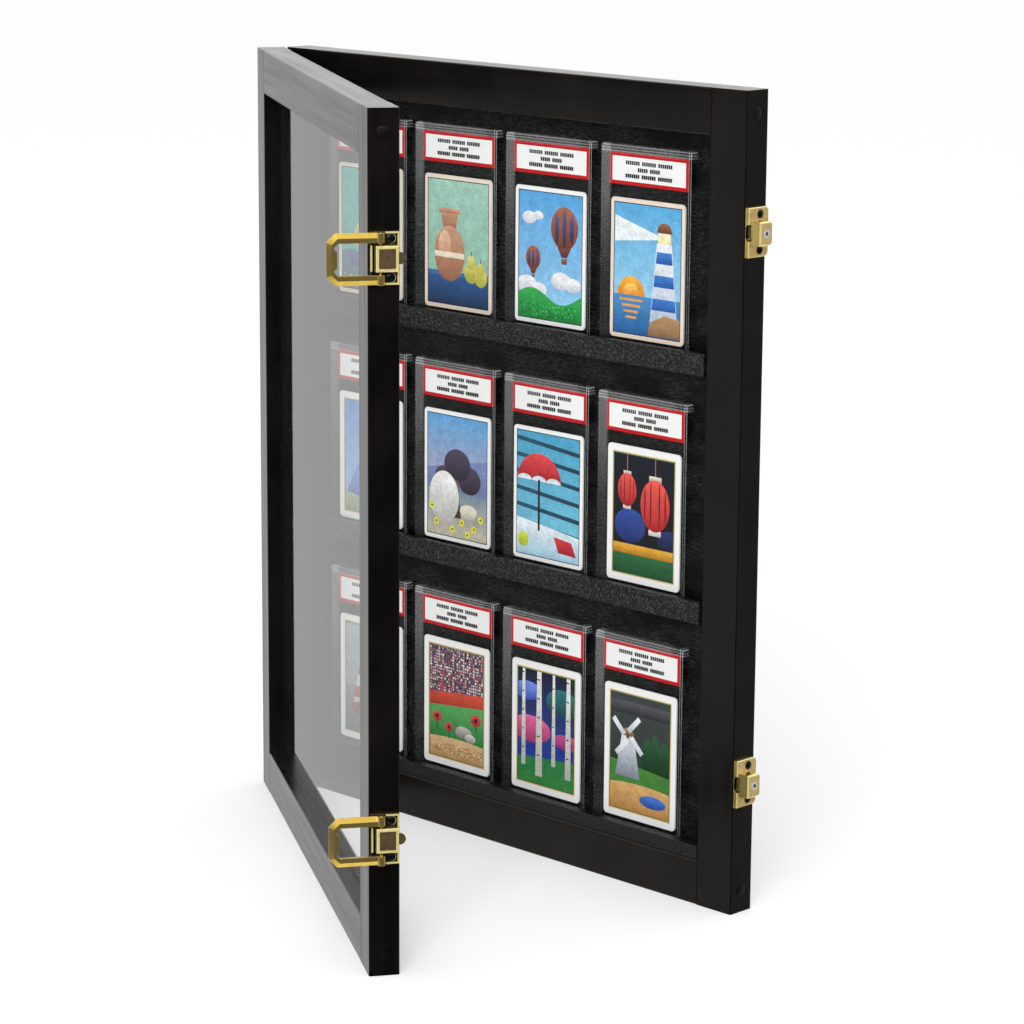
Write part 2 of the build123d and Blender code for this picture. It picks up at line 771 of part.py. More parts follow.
# ---- Latch bases, loops and their pins ----
outward = Axis((0, 0, 0), on_door(side_plane(0, 0, 0)).z_dir)
latch_plate_y = door_back_y - latch_plate_inset - latch_plate_width / 2
latch_tray_y = door_back_y - latch_plate_inset - latch_tray_width / 2
latch_box_y = door_back_y - latch_box_inset - latch_box_width / 2
latch_rib_y = door_back_y - latch_plate_inset - latch_plate_width + latch_rib_width / 2
arm_width = (loop_height - loop_opening) / 2


def edge_plane(rise, level):
    """A plane over the door's free edge, raised by rise, whose own x is the door's y."""
    return on_door(side_plane(half_width + rise, 0, level))


def pivot_disc(radius, level):
    """A disc round a loop's pivot."""
    with BuildSketch(on_door(Plane.XY.offset(level))) as disc:
        with Locations((pivot_x, pivot_y)):
            Circle(radius)
    return disc.sketch


def make_latch_base(level):
    """The plate on the door's edge: a rimmed tray, a dished box for the pivot, a rib, and a tongue."""
    with BuildPart() as base:
        with BuildSketch(edge_plane(0, level)):
            with Locations((latch_plate_y, 0)):
                Rectangle(latch_plate_width, latch_plate_height)
        extrude(amount=latch_plate_thickness)
        with BuildSketch(edge_plane(latch_plate_thickness, level)):
            with Locations((latch_tray_y, 0)):
                Rectangle(latch_tray_width, latch_plate_height)
            with Locations((latch_tray_y - latch_tray_rim, 0)):
                Rectangle(latch_tray_width, latch_plate_height - 2 * latch_tray_rim, mode=Mode.SUBTRACT)
        extrude(amount=latch_tray_rise)
        with BuildSketch(edge_plane(0, level)):
            with Locations((latch_rib_y, 0)):
                Rectangle(latch_rib_width, latch_box_height)
        extrude(amount=latch_plate_thickness + latch_rib_rise)
        with BuildSketch(edge_plane(0, level)):
            with Locations((latch_box_y, 0)):
                Rectangle(latch_box_width, latch_box_height)
        extrude(amount=latch_box_rise)
        chamfer(base.faces().sort_by(outward)[-1].edges(), latch_box_bevel)
        with BuildSketch(edge_plane(latch_box_rise, level)):
            with Locations((latch_box_y, 0)):
                border = 2 * (latch_box_bevel + latch_box_rim)
                Rectangle(latch_box_width - border, latch_box_height - border)
        extrude(amount=-latch_box_dish, mode=Mode.SUBTRACT)
        round_y = door_back_y + tongue_reach - tongue_radius
        root_y = door_back_y - latch_box_inset - tongue_root
        with BuildSketch(edge_plane(tongue_rise, level)):
            with Locations((round_y, 0)):
                Circle(tongue_radius)
            with Locations(((round_y + root_y) / 2, 0)):
                Rectangle(round_y - root_y, 2 * tongue_radius)
        extrude(amount=tongue_thickness / 2, both=True)
        pin_hole = pivot_disc(latch_pin_radius + latch_pin_play, level)
        extrude(pin_hole, amount=latch_box_height, both=True, mode=Mode.SUBTRACT)
        sink_screws(latch_screw_planes([level]))
    return base


def loop_outline(rise, level):
    """The loop's outside, seen square to the door's edge and thrown back, past the pivot."""
    outer_end, arm_end = pivot_y - loop_reach, pivot_y + 2 * loop_eye
    half_height = loop_height / 2
    with BuildSketch(edge_plane(rise, level)) as outline:
        Polygon(
            (arm_end, half_height),
            (outer_end + loop_cut, half_height),
            (outer_end, half_height - loop_cut),
            (outer_end, loop_cut - half_height),
            (outer_end + loop_cut, -half_height),
            (arm_end, -half_height),
            align=None,
        )
    return outline.sketch


def loop_window(level):
    """The opening between the loop's arms, with the end bar's lip standing into it."""
    bar_end, arm_end = pivot_y - loop_reach + loop_bar, pivot_y + 2 * loop_eye
    lip_end = bar_end + loop_lip_reach
    half_opening, half_lip, inner_cut = loop_opening / 2, loop_lip_height / 2, loop_inner_cut
    with BuildSketch(edge_plane(loop_lift, level)) as window:
        Polygon(
            (arm_end, half_opening),
            (bar_end + inner_cut, half_opening),
            (bar_end, half_opening - inner_cut),
            (bar_end, half_lip),
            (lip_end, half_lip - loop_lip_reach),
            (lip_end, loop_lip_reach - half_lip),
            (bar_end, -half_lip),
            (bar_end, inner_cut - half_opening),
            (bar_end + inner_cut, -half_opening),
            (arm_end, -half_opening),
            align=None,
        )
    return window.sketch


def make_loop(level):
    """The bent loop: flat, with a hem and a slope round its outside, and arms rolled at the pivot."""
    with BuildPart() as loop:
        extrude(loop_outline(loop_lift, level), amount=loop_hem)
        extrude(loop_outline(loop_lift + loop_hem, level), amount=loop_ridge, taper=loop_slope)
        extrude(loop_window(level), amount=loop_hem + loop_ridge, mode=Mode.SUBTRACT)
        with BuildSketch(edge_plane(loop_lift, level)):
            with Locations((pivot_y + loop_eye, 0)):
                Rectangle(2 * loop_eye, loop_height)
        extrude(amount=loop_hem + loop_ridge, mode=Mode.SUBTRACT)
        extrude(pivot_disc(loop_eye, level + loop_opening / 2), amount=arm_width)
        extrude(pivot_disc(loop_eye, level - loop_opening / 2), amount=-arm_width)
        pin_hole = pivot_disc(latch_pin_radius + latch_pin_play, level)
        extrude(pin_hole, amount=loop_height, both=True, mode=Mode.SUBTRACT)
    return loop


with BuildPart() as latch_pins:
    for level in latch_levels:
        extrude(pivot_disc(latch_pin_radius, level), amount=loop_height / 2 + latch_pin_end, both=True)
save(latch_pins, "latch_pins")

for level, name in zip(latch_levels, level_names):
    save(make_latch_base(level), f"latch_base_{name}")
    save(make_loop(level), f"latch_loop_{name}")

# ---- Lock cases and plugs ----
lock_box_y = face_y + lock_box_start + lock_box_width / 2
slot_depth = tongue_reach - door_gap + tongue_play


def case_plane(rise, level):
    """A plane over the cabinet's right side, raised by rise, whose own x is +Y."""
    return side_plane(half_width + rise, 0, level)


def make_lock_case(level):
    """The plate on the cabinet's side and its lock box, slotted for the latch's tongue."""
    with BuildPart() as case:
        with BuildSketch(case_plane(0, level)) as outline:
            with Locations((face_y + case_inset + case_width / 2, 0)):
                Rectangle(case_width, case_height)
            fillet(outline.vertices().group_by(Axis.X)[-1], case_corner)
        extrude(amount=case_plate)
        chamfer(case.faces().sort_by(Axis.X)[-1].edges(), case_edge)
        with BuildSketch(case_plane(0, level)) as box:
            with Locations((lock_box_y, 0)):
                Rectangle(lock_box_width, lock_box_height)
            fillet(box.vertices().group_by(Axis.X)[-1], lock_box_corner)
        extrude(amount=lock_box_rise)
        chamfer(case.faces().sort_by(Axis.X)[-1].edges(), lock_box_bevel)
        with BuildSketch(Plane.XZ.offset(-face_y)):
            with Locations((half_width + tongue_rise, level)):
                SlotOverall(slot_height, slot_width, rotation=90)
        extrude(amount=-slot_depth, mode=Mode.SUBTRACT)
        with BuildSketch(case_plane(lock_box_rise, level)):
            with Locations((lock_box_y, 0)):
                Circle(lock_plug_radius + lock_plug_play)
        extrude(amount=-lock_plug_depth - lock_plug_end_play, mode=Mode.SUBTRACT)
        sink_screws(lock_screw_planes([level]))
    return case


def make_lock_plug(level):
    """The turning plug, with a keyhole in its face."""
    with BuildPart() as plug:
        with BuildSketch(case_plane(lock_box_rise - lock_plug_depth, level)):
            with Locations((lock_box_y, 0)):
                Circle(lock_plug_radius)
        extrude(amount=lock_plug_depth + lock_plug_proud)
        with BuildSketch(case_plane(lock_box_rise + lock_plug_proud, level)):
            with Locations((lock_box_y, keyhole_eye / 2)):
                Circle(keyhole_eye)
            with Locations((lock_box_y, (keyhole_eye - keyhole_span) / 2)):
                Rectangle(keyhole_width, keyhole_span)
        extrude(amount=-keyhole_depth, mode=Mode.SUBTRACT)
    return plug


for level, name in zip(latch_levels, level_names):
    save(make_lock_case(level), f"lock_case_{name}")
    save(make_lock_plug(level), f"lock_plug_{name}")
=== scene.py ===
"""Looks of a wall display case for graded trading cards.

The case is a shallow black cabinet with shelves of clear card holders and a glazed door with brass
loop latches. Every class below is one sub-assembly: it keeps its sizes as fields, builds the pieces
that the frame holds only as plain solids, and gives every piece its finish. Lengths are in metres.
The cabinet faces -Y, its right side faces +X, and the door stands open round the hinges on the left.
"""

import json
import logging
import math
import random
from collections.abc import Callable, Sequence
from dataclasses import dataclass, field
from enum import Enum, IntEnum
from typing import Any

import bmesh
import bpy
from mathutils import Matrix, Vector


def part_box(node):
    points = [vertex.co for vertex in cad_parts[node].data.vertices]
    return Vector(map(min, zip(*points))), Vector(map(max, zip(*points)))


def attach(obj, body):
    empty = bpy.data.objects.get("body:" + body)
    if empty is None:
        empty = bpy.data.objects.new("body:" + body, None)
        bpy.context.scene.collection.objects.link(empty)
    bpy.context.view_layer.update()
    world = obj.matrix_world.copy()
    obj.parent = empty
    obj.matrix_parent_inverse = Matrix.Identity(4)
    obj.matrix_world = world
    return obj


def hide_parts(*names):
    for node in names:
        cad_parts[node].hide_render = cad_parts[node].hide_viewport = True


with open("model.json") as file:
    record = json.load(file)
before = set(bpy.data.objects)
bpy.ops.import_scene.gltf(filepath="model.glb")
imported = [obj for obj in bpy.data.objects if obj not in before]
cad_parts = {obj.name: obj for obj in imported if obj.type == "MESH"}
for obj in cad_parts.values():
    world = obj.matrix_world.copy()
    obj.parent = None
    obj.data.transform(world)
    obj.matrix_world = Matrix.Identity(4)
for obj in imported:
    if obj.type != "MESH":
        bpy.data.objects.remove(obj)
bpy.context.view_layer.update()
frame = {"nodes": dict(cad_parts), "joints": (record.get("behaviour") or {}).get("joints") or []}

log = logging.getLogger("card_display_case")

MM = 0.001
MERGE_GAP = 0.001 * MM
FLAT_BEND = math.radians(0.8)
SHARP_BEND = math.radians(40)
BEVEL_STEPS = 3
FRONT = Vector((0.0, -1.0, 0.0))
BACK = Vector((0.0, 1.0, 0.0))
UP = Vector((0.0, 0.0, 1.0))
RIGHT = Vector((1.0, 0.0, 0.0))

Point = tuple[float, float]
Colour = tuple[float, float, float, float]
Mark = tuple[Vector, Vector]


# ---- Colours ----
def ink(code: str) -> Colour:
    """Turn a printer's colour code into the linear colour that Blender works in.

    Args:
        code: six hexadecimal digits, red, green and blue.

    Returns:
        The same colour, linear and opaque.
    """
    shares = [int(code[i : i + 2], 16) / 255 for i in (0, 2, 4)]
    linear = [s / 12.92 if s <= 0.04045 else ((s + 0.055) / 1.055) ** 2.4 for s in shares]
    return (linear[0], linear[1], linear[2], 1.0)


# ---- The door's place ----
class Body(Enum):
    """The bodies that pieces ride on."""

    CABINET = "cabinet"
    DOOR = "door"


@dataclass(frozen=True)
class Hinge:
    """How far the door stands open on its upright hinges."""

    angle: float

    @classmethod
    def from_frame(cls) -> "Hinge":
        """Read the open angle from the frame's door joint."""
        joint = next(j for j in frame["joints"] if j["child"] == Body.DOOR.value)
        return cls(math.radians(-joint["range_deg"][0]))

    def turned(self, direction: Vector) -> Vector:
        """Carry a direction of the shut door to where the open door has it."""
        return Matrix.Rotation(-self.angle, 3, "Z") @ direction


HINGE = Hinge.from_frame()


# ---- Meshes ----
def add_piece(name: str, mesh: bpy.types.Mesh) -> bpy.types.Object:
    """Make an object of a mesh and put it in the scene.

    Args:
        name: the piece's name.
        mesh: its mesh, in place.

    Returns:
        The new object, at the origin.
    """
    piece = bpy.data.objects.new(name, mesh)
    bpy.context.scene.collection.objects.link(piece)
    return piece


def finished(shape: bmesh.types.BMesh, name: str, smooth: float = 35) -> bpy.types.Mesh:
    """Write a shape to a mesh, with soft shading over gentle bends only.

    Args:
        shape: the shape, which is freed.
        name: the mesh's name.
        smooth: degrees past which an edge stays sharp.

    Returns:
        The mesh.
    """
    mesh = bpy.data.meshes.new(name)
    shape.to_mesh(mesh)
    shape.free()
    mesh.shade_smooth()
    mesh.set_sharp_from_angle(angle=math.radians(smooth))
    for face in mesh.polygons:
        face.use_smooth = face.loop_total <= 4
    return mesh


def evaluated(piece: bpy.types.Object, name: str) -> bpy.types.Mesh:
    """Take what a piece's modifiers make as a plain mesh, and remove the piece.

    Args:
        piece: an object with modifiers.
        name: the name of the new mesh.

    Returns:
        The plain mesh.
    """
    graph = bpy.context.evaluated_depsgraph_get()
    graph.update()
    mesh = bpy.data.meshes.new_from_object(piece.evaluated_get(graph), depsgraph=graph)
    mesh.name = name
    bpy.data.objects.remove(piece)
    return mesh


def merged_copy(node: str) -> bmesh.types.BMesh:
    """Copy a node's mesh with its loose triangles joined into whole faces.

    Args:
        node: the name of a node of the frame.

    Returns:
        The joined copy.
    """
    shape = bmesh.new()
    shape.from_mesh(frame["nodes"][node].data)
    bmesh.ops.remove_doubles(shape, verts=shape.verts, dist=MERGE_GAP)
    return shape


def solids_of(node: str) -> list[list[Vector]]:
    """Find the corners of each separate solid in a node.

    Args:
        node: the name of a node of the frame.

    Returns:
        One list of corners for each solid.
    """
    shape = merged_copy(node)
    found: list[list[Vector]] = []
    seen: set[bmesh.types.BMVert] = set()
    for start in shape.verts:
        if start in seen:
            continue
        waiting, solid = [start], []
        seen.add(start)
        while waiting:
            corner = waiting.pop()
            solid.append(corner.co.copy())
            fresh = {edge.other_vert(corner) for edge in corner.link_edges} - seen
            seen |= fresh
            waiting.extend(fresh)
        found.append(solid)
    shape.free()
    return found


def box_round(corners: Sequence[Vector]) -> tuple[Vector, Vector]:
    """Find the box round some corners.

    Args:
        corners: points of one solid.

    Returns:
        The box's lowest and highest corner.
    """
    low = Vector([min(c[i] for c in corners) for i in range(3)])
    high = Vector([max(c[i] for c in corners) for i in range(3)])
    return low, high


def middle_of(corners: Sequence[Vector]) -> Vector:
    """Find the middle of the box round some corners."""
    low, high = box_round(corners)
    return (low + high) / 2


def mark_of(corners: Sequence[Vector], facing: Vector) -> Mark:
    """Find where a solid, such as a screw, meets the face that it is put in from.

    Args:
        corners: the solid's corners.
        facing: the way its head faces.

    Returns:
        The middle of its outer end, and the way it faces.
    """
    middle = middle_of(corners)
    reach = max((corner - middle).dot(facing) for corner in corners)
    return middle + facing * reach, facing


def rounded_outline(width: float, height: float, radius: float, steps: int) -> list[Point]:
    """Draw a rectangle with rounded corners round the origin, anticlockwise.

    Args:
        width: its width.
        height: its height.
        radius: the radius of its corners.
        steps: how many steps each corner takes.

    Returns:
        The outline's points.
    """
    points = []
    corners = ((1, -1, -90), (1, 1, 0), (-1, 1, 90), (-1, -1, 180))
    for side_x, side_y, start in corners:
        centre_x = side_x * (width / 2 - radius)
        centre_y = side_y * (height / 2 - radius)
        for step in range(steps + 1):
            angle = math.radians(start + 90 * step / steps)
            points.append((centre_x + radius * math.cos(angle), centre_y + radius * math.sin(angle)))
    return points


def stack_rings(shape: bmesh.types.BMesh, rings: Sequence[Sequence[Vector]]) -> None:
    """Join a row of matching closed rings by faces, and close both ends.

    Args:
        shape: the shape that gets the faces.
        rings: the rings' points, from one end of the solid to the other.
    """
    loops = [[shape.verts.new(point) for point in ring] for ring in rings]
    for lower, upper in zip(loops, loops[1:]):
        for i in range(len(lower)):
            j = (i + 1) % len(lower)
            shape.faces.new((lower[i], lower[j], upper[j], upper[i]))
    shape.faces.new(list(reversed(loops[0])))
    shape.faces.new(loops[-1])
    bmesh.ops.recalc_face_normals(shape, faces=shape.faces)


def turned_solid(profile: Sequence[Point], steps: int) -> bmesh.types.BMesh:
    """Spin a profile of radius and height round Z into a closed solid.

    Args:
        profile: radius and height of each ring, from the bottom up.
        steps: how many sides the rings have.

    Returns:
        The solid.
    """
    shape = bmesh.new()
    turns = [2 * math.pi * i / steps for i in range(steps)]
    rings = [[Vector((r * math.cos(t), r * math.sin(t), z)) for t in turns] for r, z in profile]
    stack_rings(shape, rings)
    return shape


def softened(node: str, name: str, width: float) -> bpy.types.Object:
    """Copy a node and round its edges, so that they catch the light as worked metal does.

    Args:
        node: the name of a node of the frame.
        name: the new piece's name.
        width: how wide the rounding is.

    Returns:
        The new piece, in the node's place.
    """
    shape = merged_copy(node)
    bmesh.ops.dissolve_limit(shape, angle_limit=FLAT_BEND, verts=shape.verts, edges=shape.edges)
    draft = add_piece(name + "_draft", finished(shape, name))
    edges = draft.modifiers.new("rounded edges", "BEVEL")
    edges.width = width
    edges.segments = BEVEL_STEPS
    edges.limit_method = "ANGLE"
    edges.angle_limit = SHARP_BEND
    shading = draft.modifiers.new("flat faces", "WEIGHTED_NORMAL")
    shading.keep_sharp = True
    return add_piece(name, evaluated(draft, name))


# ---- Node trees ----
class Nodes:
    """A node tree being made: adds nodes, and joins sockets by their names."""

    def __init__(self, tree: bpy.types.NodeTree) -> None:
        """Take over a node tree and empty it."""
        self.tree = tree
        tree.nodes.clear()

    def add(self, kind: str, inputs: dict[Any, Any] | None = None, **settings: Any) -> bpy.types.Node:
        """Add a node.

        Args:
            kind: the node's type, where a shader node goes without its ShaderNode prefix.
            inputs: values, or other nodes' output sockets, for its inputs by name or number.
            settings: its own properties.

        Returns:
            The node.
        """
        node = self.tree.nodes.new(kind if "Node" in kind else "ShaderNode" + kind)
        for label, value in settings.items():
            setattr(node, label, value)
        for label, value in (inputs or {}).items():
            if isinstance(value, bpy.types.NodeSocket):
                self.tree.links.new(value, node.inputs[label])
            else:
                node.inputs[label].default_value = value
        return node

    def maths(self, operation: str, first: Any, second: Any = 0.0, third: Any = 0.0) -> bpy.types.NodeSocket:
        """Add a sum of up to three values or sockets, and give its socket."""
        node = self.add("Math", {0: first, 1: second, 2: third}, operation=operation)
        return node.outputs["Value"]


# ---- Placing what repeats ----
class SettingOut:
    """Geometry Nodes that set one shape out on marked points, each facing its point's own way."""

    FLOAT_MAX = 3
    FLOAT_OUT = 1

    def __init__(self) -> None:
        """Build the tree once, for every group of like pieces."""
        self.tree = bpy.data.node_groups.new("set out on marks", "GeometryNodeTree")
        face = self.tree.interface
        face.new_socket("Marks", in_out="INPUT", socket_type="NodeSocketGeometry")
        kinds = {"Shape": "Object", "Finish": "Material", "Spin": "Float", "Seed": "Int"}
        self.sockets = {
            label: face.new_socket(label, in_out="INPUT", socket_type="NodeSocket" + kind)
            for label, kind in kinds.items()
        }
        face.new_socket("Pieces", in_out="OUTPUT", socket_type="NodeSocketGeometry")
        nodes = Nodes(self.tree)
        given = nodes.add("NodeGroupInput").outputs
        facing = nodes.add(
            "GeometryNodeInputNamedAttribute", {"Name": "facing"}, data_type="FLOAT_VECTOR").outputs
        aligned = nodes.add(
            "FunctionNodeAlignRotationToVector", {"Vector": facing["Attribute"]}, axis="Z").outputs
        chance = nodes.add(
            "FunctionNodeRandomValue", {self.FLOAT_MAX: given["Spin"], "Seed": given["Seed"]},
            data_type="FLOAT").outputs
        about = nodes.add(
            "FunctionNodeAxisAngleToRotation", {"Axis": UP, "Angle": chance[self.FLOAT_OUT]}).outputs
        turns = {"Rotation": aligned["Rotation"], "Rotate By": about["Rotation"]}
        spun = nodes.add("FunctionNodeRotateRotation", turns, rotation_space="LOCAL").outputs
        shape = nodes.add("GeometryNodeObjectInfo", {"Object": given["Shape"]}).outputs
        placing = {"Points": given["Marks"], "Instance": shape["Geometry"], "Rotation": spun["Rotation"]}
        placed = nodes.add("GeometryNodeInstanceOnPoints", placing).outputs
        real = nodes.add("GeometryNodeRealizeInstances", {"Geometry": placed["Instances"]}).outputs
        dressing = {"Geometry": real["Geometry"], "Material": given["Finish"]}
        dressed = nodes.add("GeometryNodeSetMaterial", dressing).outputs
        nodes.add("NodeGroupOutput", {"Pieces": dressed["Geometry"]})

    def run(
        self,
        name: str,
        shape: bpy.types.Mesh,
        marks: Sequence[Mark],
        finish: bpy.types.Material,
        spin: float = 0.0,
        seed: int = 1,
    ) -> bpy.types.Object:
        """Set a shape out on marks as one plain mesh.

        Args:
            name: the new piece's name.
            shape: what is set out, with its own +Z facing as its mark does.
            marks: the places, and the way each faces.
            finish: the material of every copy.
            spin: the most that a copy is turned about its own axis, in radians.
            seed: fixes the turns.

        Returns:
            One piece with all the copies.
        """
        points = bpy.data.meshes.new(name + "_marks")
        points.from_pydata([place for place, _ in marks], [], [])
        facing = points.attributes.new("facing", "FLOAT_VECTOR", "POINT")
        facing.data.foreach_set("vector", [value for _, way in marks for value in way])
        pattern = add_piece(name + "_pattern", shape)
        draft = add_piece(name + "_draft", points)
        nodes = draft.modifiers.new("set out", "NODES")
        nodes.node_group = self.tree
        values = {"Shape": pattern, "Finish": finish, "Spin": spin, "Seed": seed}
        for label, value in values.items():
            nodes[self.sockets[label].identifier] = value
        mesh = evaluated(draft, name)
        bpy.data.objects.remove(pattern)
        return add_piece(name, mesh)


# ---- Materials ----
class Shader(Nodes):
    """A material being made."""

    NOISE_SPAN = (0.3, 0.7)

    def __init__(self, name: str) -> None:
        """Start an empty material.

        Args:
            name: the material's name.
        """
        self.material = bpy.data.materials.new(name)
        self.material.use_nodes = True
        super().__init__(self.material.node_tree)

    def place(self, turn: float = 0.0, stretch: Sequence[float] = (1, 1, 1)) -> bpy.types.NodeSocket:
        """Give the object's own coordinates, turned about Z and stretched.

        Args:
            turn: the turn in radians.
            stretch: what each turned coordinate is multiplied by.

        Returns:
            The coordinates' socket.
        """
        source = self.add("TexCoord").outputs["Object"]
        turned = self.add("Mapping", {"Vector": source, "Rotation": (0, 0, turn)})
        scaled = self.add("Mapping", {"Vector": turned.outputs["Vector"], "Scale": stretch})
        return scaled.outputs["Vector"]

    def noise(
        self, coords: bpy.types.NodeSocket, scale: float, detail: float = 3.0, rough: float = 0.5
    ) -> bpy.types.NodeSocket:
        """Add a noise pattern, and give its value's socket."""
        inputs = {"Vector": coords, "Scale": scale, "Detail": detail, "Roughness": rough}
        return self.add("TexNoise", inputs).outputs["Fac"]

    def between(
        self, value: bpy.types.NodeSocket, low: float, high: float, to_low: float, to_high: float
    ) -> bpy.types.NodeSocket:
        """Map a value smoothly from one span to another.

        Args:
            value: the value.
            low: the span's start.
            high: the span's end.
            to_low: the result at its start.
            to_high: the result at its end.

        Returns:
            The result's socket.
        """
        inputs = {
            "Value": value, "From Min": low, "From Max": high, "To Min": to_low, "To Max": to_high
        }
        return self.add("MapRange", inputs, interpolation_type="SMOOTHSTEP").outputs["Result"]

    def swing(self, noise: bpy.types.NodeSocket, low: float, high: float) -> bpy.types.NodeSocket:
        """Map the usual span of a noise pattern to another."""
        return self.between(noise, *self.NOISE_SPAN, low, high)

    def blend(self, share: Any, first: Any, second: Any) -> bpy.types.NodeSocket:
        """Mix two colours by a share of the second, and give the colour's socket."""
        node = self.add("Mix", {0: share, 6: first, 7: second}, data_type="RGBA")
        return node.outputs[2]

    def bump(
        self, height: Any, strength: float, distance: float, normal: Any = None
    ) -> bpy.types.NodeSocket:
        """Raise a surface by a pattern.

        Args:
            height: the pattern's socket.
            strength: how strongly it shows.
            distance: the height of its full range, in metres.
            normal: a normal to start from.

        Returns:
            The new normal's socket.
        """
        inputs = {"Height": height, "Strength": strength, "Distance": distance}
        if normal is not None:
            inputs["Normal"] = normal
        return self.add("Bump", inputs).outputs["Normal"]

    def finish(self, surface: bpy.types.NodeSocket) -> bpy.types.Material:
        """Join the last shader to the output, and give the finished material."""
        self.add("OutputMaterial", {"Surface": surface})
        return self.material

    def solid(self, inputs: dict[str, Any]) -> bpy.types.Material:
        """End a finish that nothing shows through, from values or sockets for its inputs."""
        return self.finish(self.add("BsdfPrincipled", inputs).outputs["BSDF"])


class Grain(Enum):
    """Which way the wood's grain runs, as what a pattern's X, Y and Z are multiplied by."""

    UPRIGHT = (1.0, 1.0, 0.05)
    LEVEL = (0.05, 1.0, 1.0)


@dataclass(frozen=True)
class Lacquer:
    """Black lacquer over close-grained wood, with the grain just showing in its gloss."""

    name: str
    grain: Grain
    turn: float = 0.0
    body: Colour = (0.0026, 0.0022, 0.0019, 1.0)
    worn: Colour = (0.0062, 0.0052, 0.0042, 1.0)
    roughness: float = 0.26
    gloss: float = 0.32
    sheen: Colour = (1.0, 0.90, 0.80, 1.0)
    worn_span: tuple[float, float] = (0.35, 0.75)

    def material(self) -> bpy.types.Material:
        """Make the finish.

        Returns:
            The finished material.
        """
        shader = Shader(self.name)
        coords = shader.place(self.turn, self.grain.value)
        pores = shader.noise(coords, 900, 4, 0.6)
        bands = shader.noise(coords, 120, 3)
        plain = shader.place()
        patches = shader.noise(plain, 22, 3)
        dust = shader.noise(plain, 1500, 2)
        tone = shader.between(patches, *self.worn_span, 0.0, 1.0)
        colour = shader.blend(tone, self.body, self.worn)
        rough = shader.swing(bands, self.roughness - 0.03, self.roughness + 0.04)
        lines = shader.bump(pores, 0.05, 0.05 * MM)
        specks = shader.bump(dust, 0.06, 0.04 * MM, lines)
        inputs = {
            "Base Color": colour, "Roughness": rough, "Normal": specks, "Specular IOR Level": self.gloss,
            "Specular Tint": self.sheen,
        }
        return shader.solid(inputs)


@dataclass(frozen=True)
class PebbledLacquer:
    """Thick black paint with the fine orange-peel that a roller leaves, and highlights painted on the
    pebbles' tops.
    """

    name: str
    colour: Colour = (0.0015, 0.0015, 0.0016, 1.0)
    # pale is the highlight colour painted on the pebbles' tops.
    pale: Colour = (0.066, 0.067, 0.068, 1.0)
    pebble: float = 760.0
    roughness: float = 0.24
    height: float = 0.75 * MM
    pebble_highlight_span: tuple[float, float] = (0.47, 0.68)
    gloss: float = 0.26

    def material(self) -> bpy.types.Material:
        """Make the finish.

        Returns:
            The finished material.
        """
        shader = Shader(self.name)
        coords = shader.place()
        pebbles = shader.noise(coords, self.pebble, 3, 0.62)
        fine = shader.noise(coords, self.pebble * 3, 2)
        # The pebbles' tops are painted pale as highlights.
        tone = shader.between(pebbles, *self.pebble_highlight_span, 0.0, 1.0)
        raised = shader.bump(pebbles, 0.9, self.height)
        inputs = {
            "Base Color": shader.blend(tone, self.colour, self.pale),
            "Roughness": shader.swing(fine, self.roughness - 0.06, self.roughness + 0.10),
            "Normal": shader.bump(fine, 0.35, self.height / 5, raised),
            "Specular IOR Level": self.gloss,
        }
        return shader.solid(inputs)


@dataclass(frozen=True)
class RippledBoard:
    """Black board pressed with a running wood figure and rippled across its grain; glints are painted on its
    front's crests.
    """

    name: str
    colour: Colour = (0.0008, 0.0008, 0.0009, 1.0)
    # crest is the painted glint colour on the front's ripple crests.
    crest: Colour = (0.034, 0.034, 0.035, 1.0)
    roughness: float = 0.28
    height: float = 0.60 * MM
    front: float = 5.5 * MM
    crest_glint_span: tuple[float, float] = (0.42, 0.68)
    gloss: float = 0.12

    def material(self) -> bpy.types.Material:
        """Make the finish.

        Returns:
            The finished material.
        """
        shader = Shader(self.name)
        long = shader.place(stretch=(0.10, 1.0, 1.0))
        wide = shader.place(stretch=(0.5, 1.0, 1.0))
        grain = shader.noise(long, 900, 4, 0.65)
        figure = shader.noise(wide, 60, 3)
        weight = shader.between(figure, 0.35, 0.7, 0.25, 1.0)
        ripples = shader.maths("MULTIPLY", grain, weight)
        # Only the front face, short of the front depth, gets the painted glints.
        depth = shader.add("SeparateXYZ", {"Vector": shader.place()}).outputs[1]
        glinting_front = shader.maths("LESS_THAN", depth, self.front)
        # The ripple crests are painted pale as glints, stronger where the figure runs.
        waves = shader.noise(shader.place(stretch=(0.20, 1.0, 1.0)), 1100, 3, 0.6)
        crest_glints = shader.between(waves, *self.crest_glint_span, 0.0, 1.0)
        crest_glints = shader.maths("MULTIPLY", crest_glints, shader.between(figure, 0.36, 0.62, 0.12, 1.0))
        inputs = {
            "Base Color": shader.blend(shader.maths("MULTIPLY", crest_glints, glinting_front), self.colour, self.crest),
            "Roughness": shader.swing(grain, self.roughness - 0.08, self.roughness + 0.12),
            "Normal": shader.bump(ripples, 1.0, self.height),
            "Specular IOR Level": self.gloss,
        }
        return shader.solid(inputs)


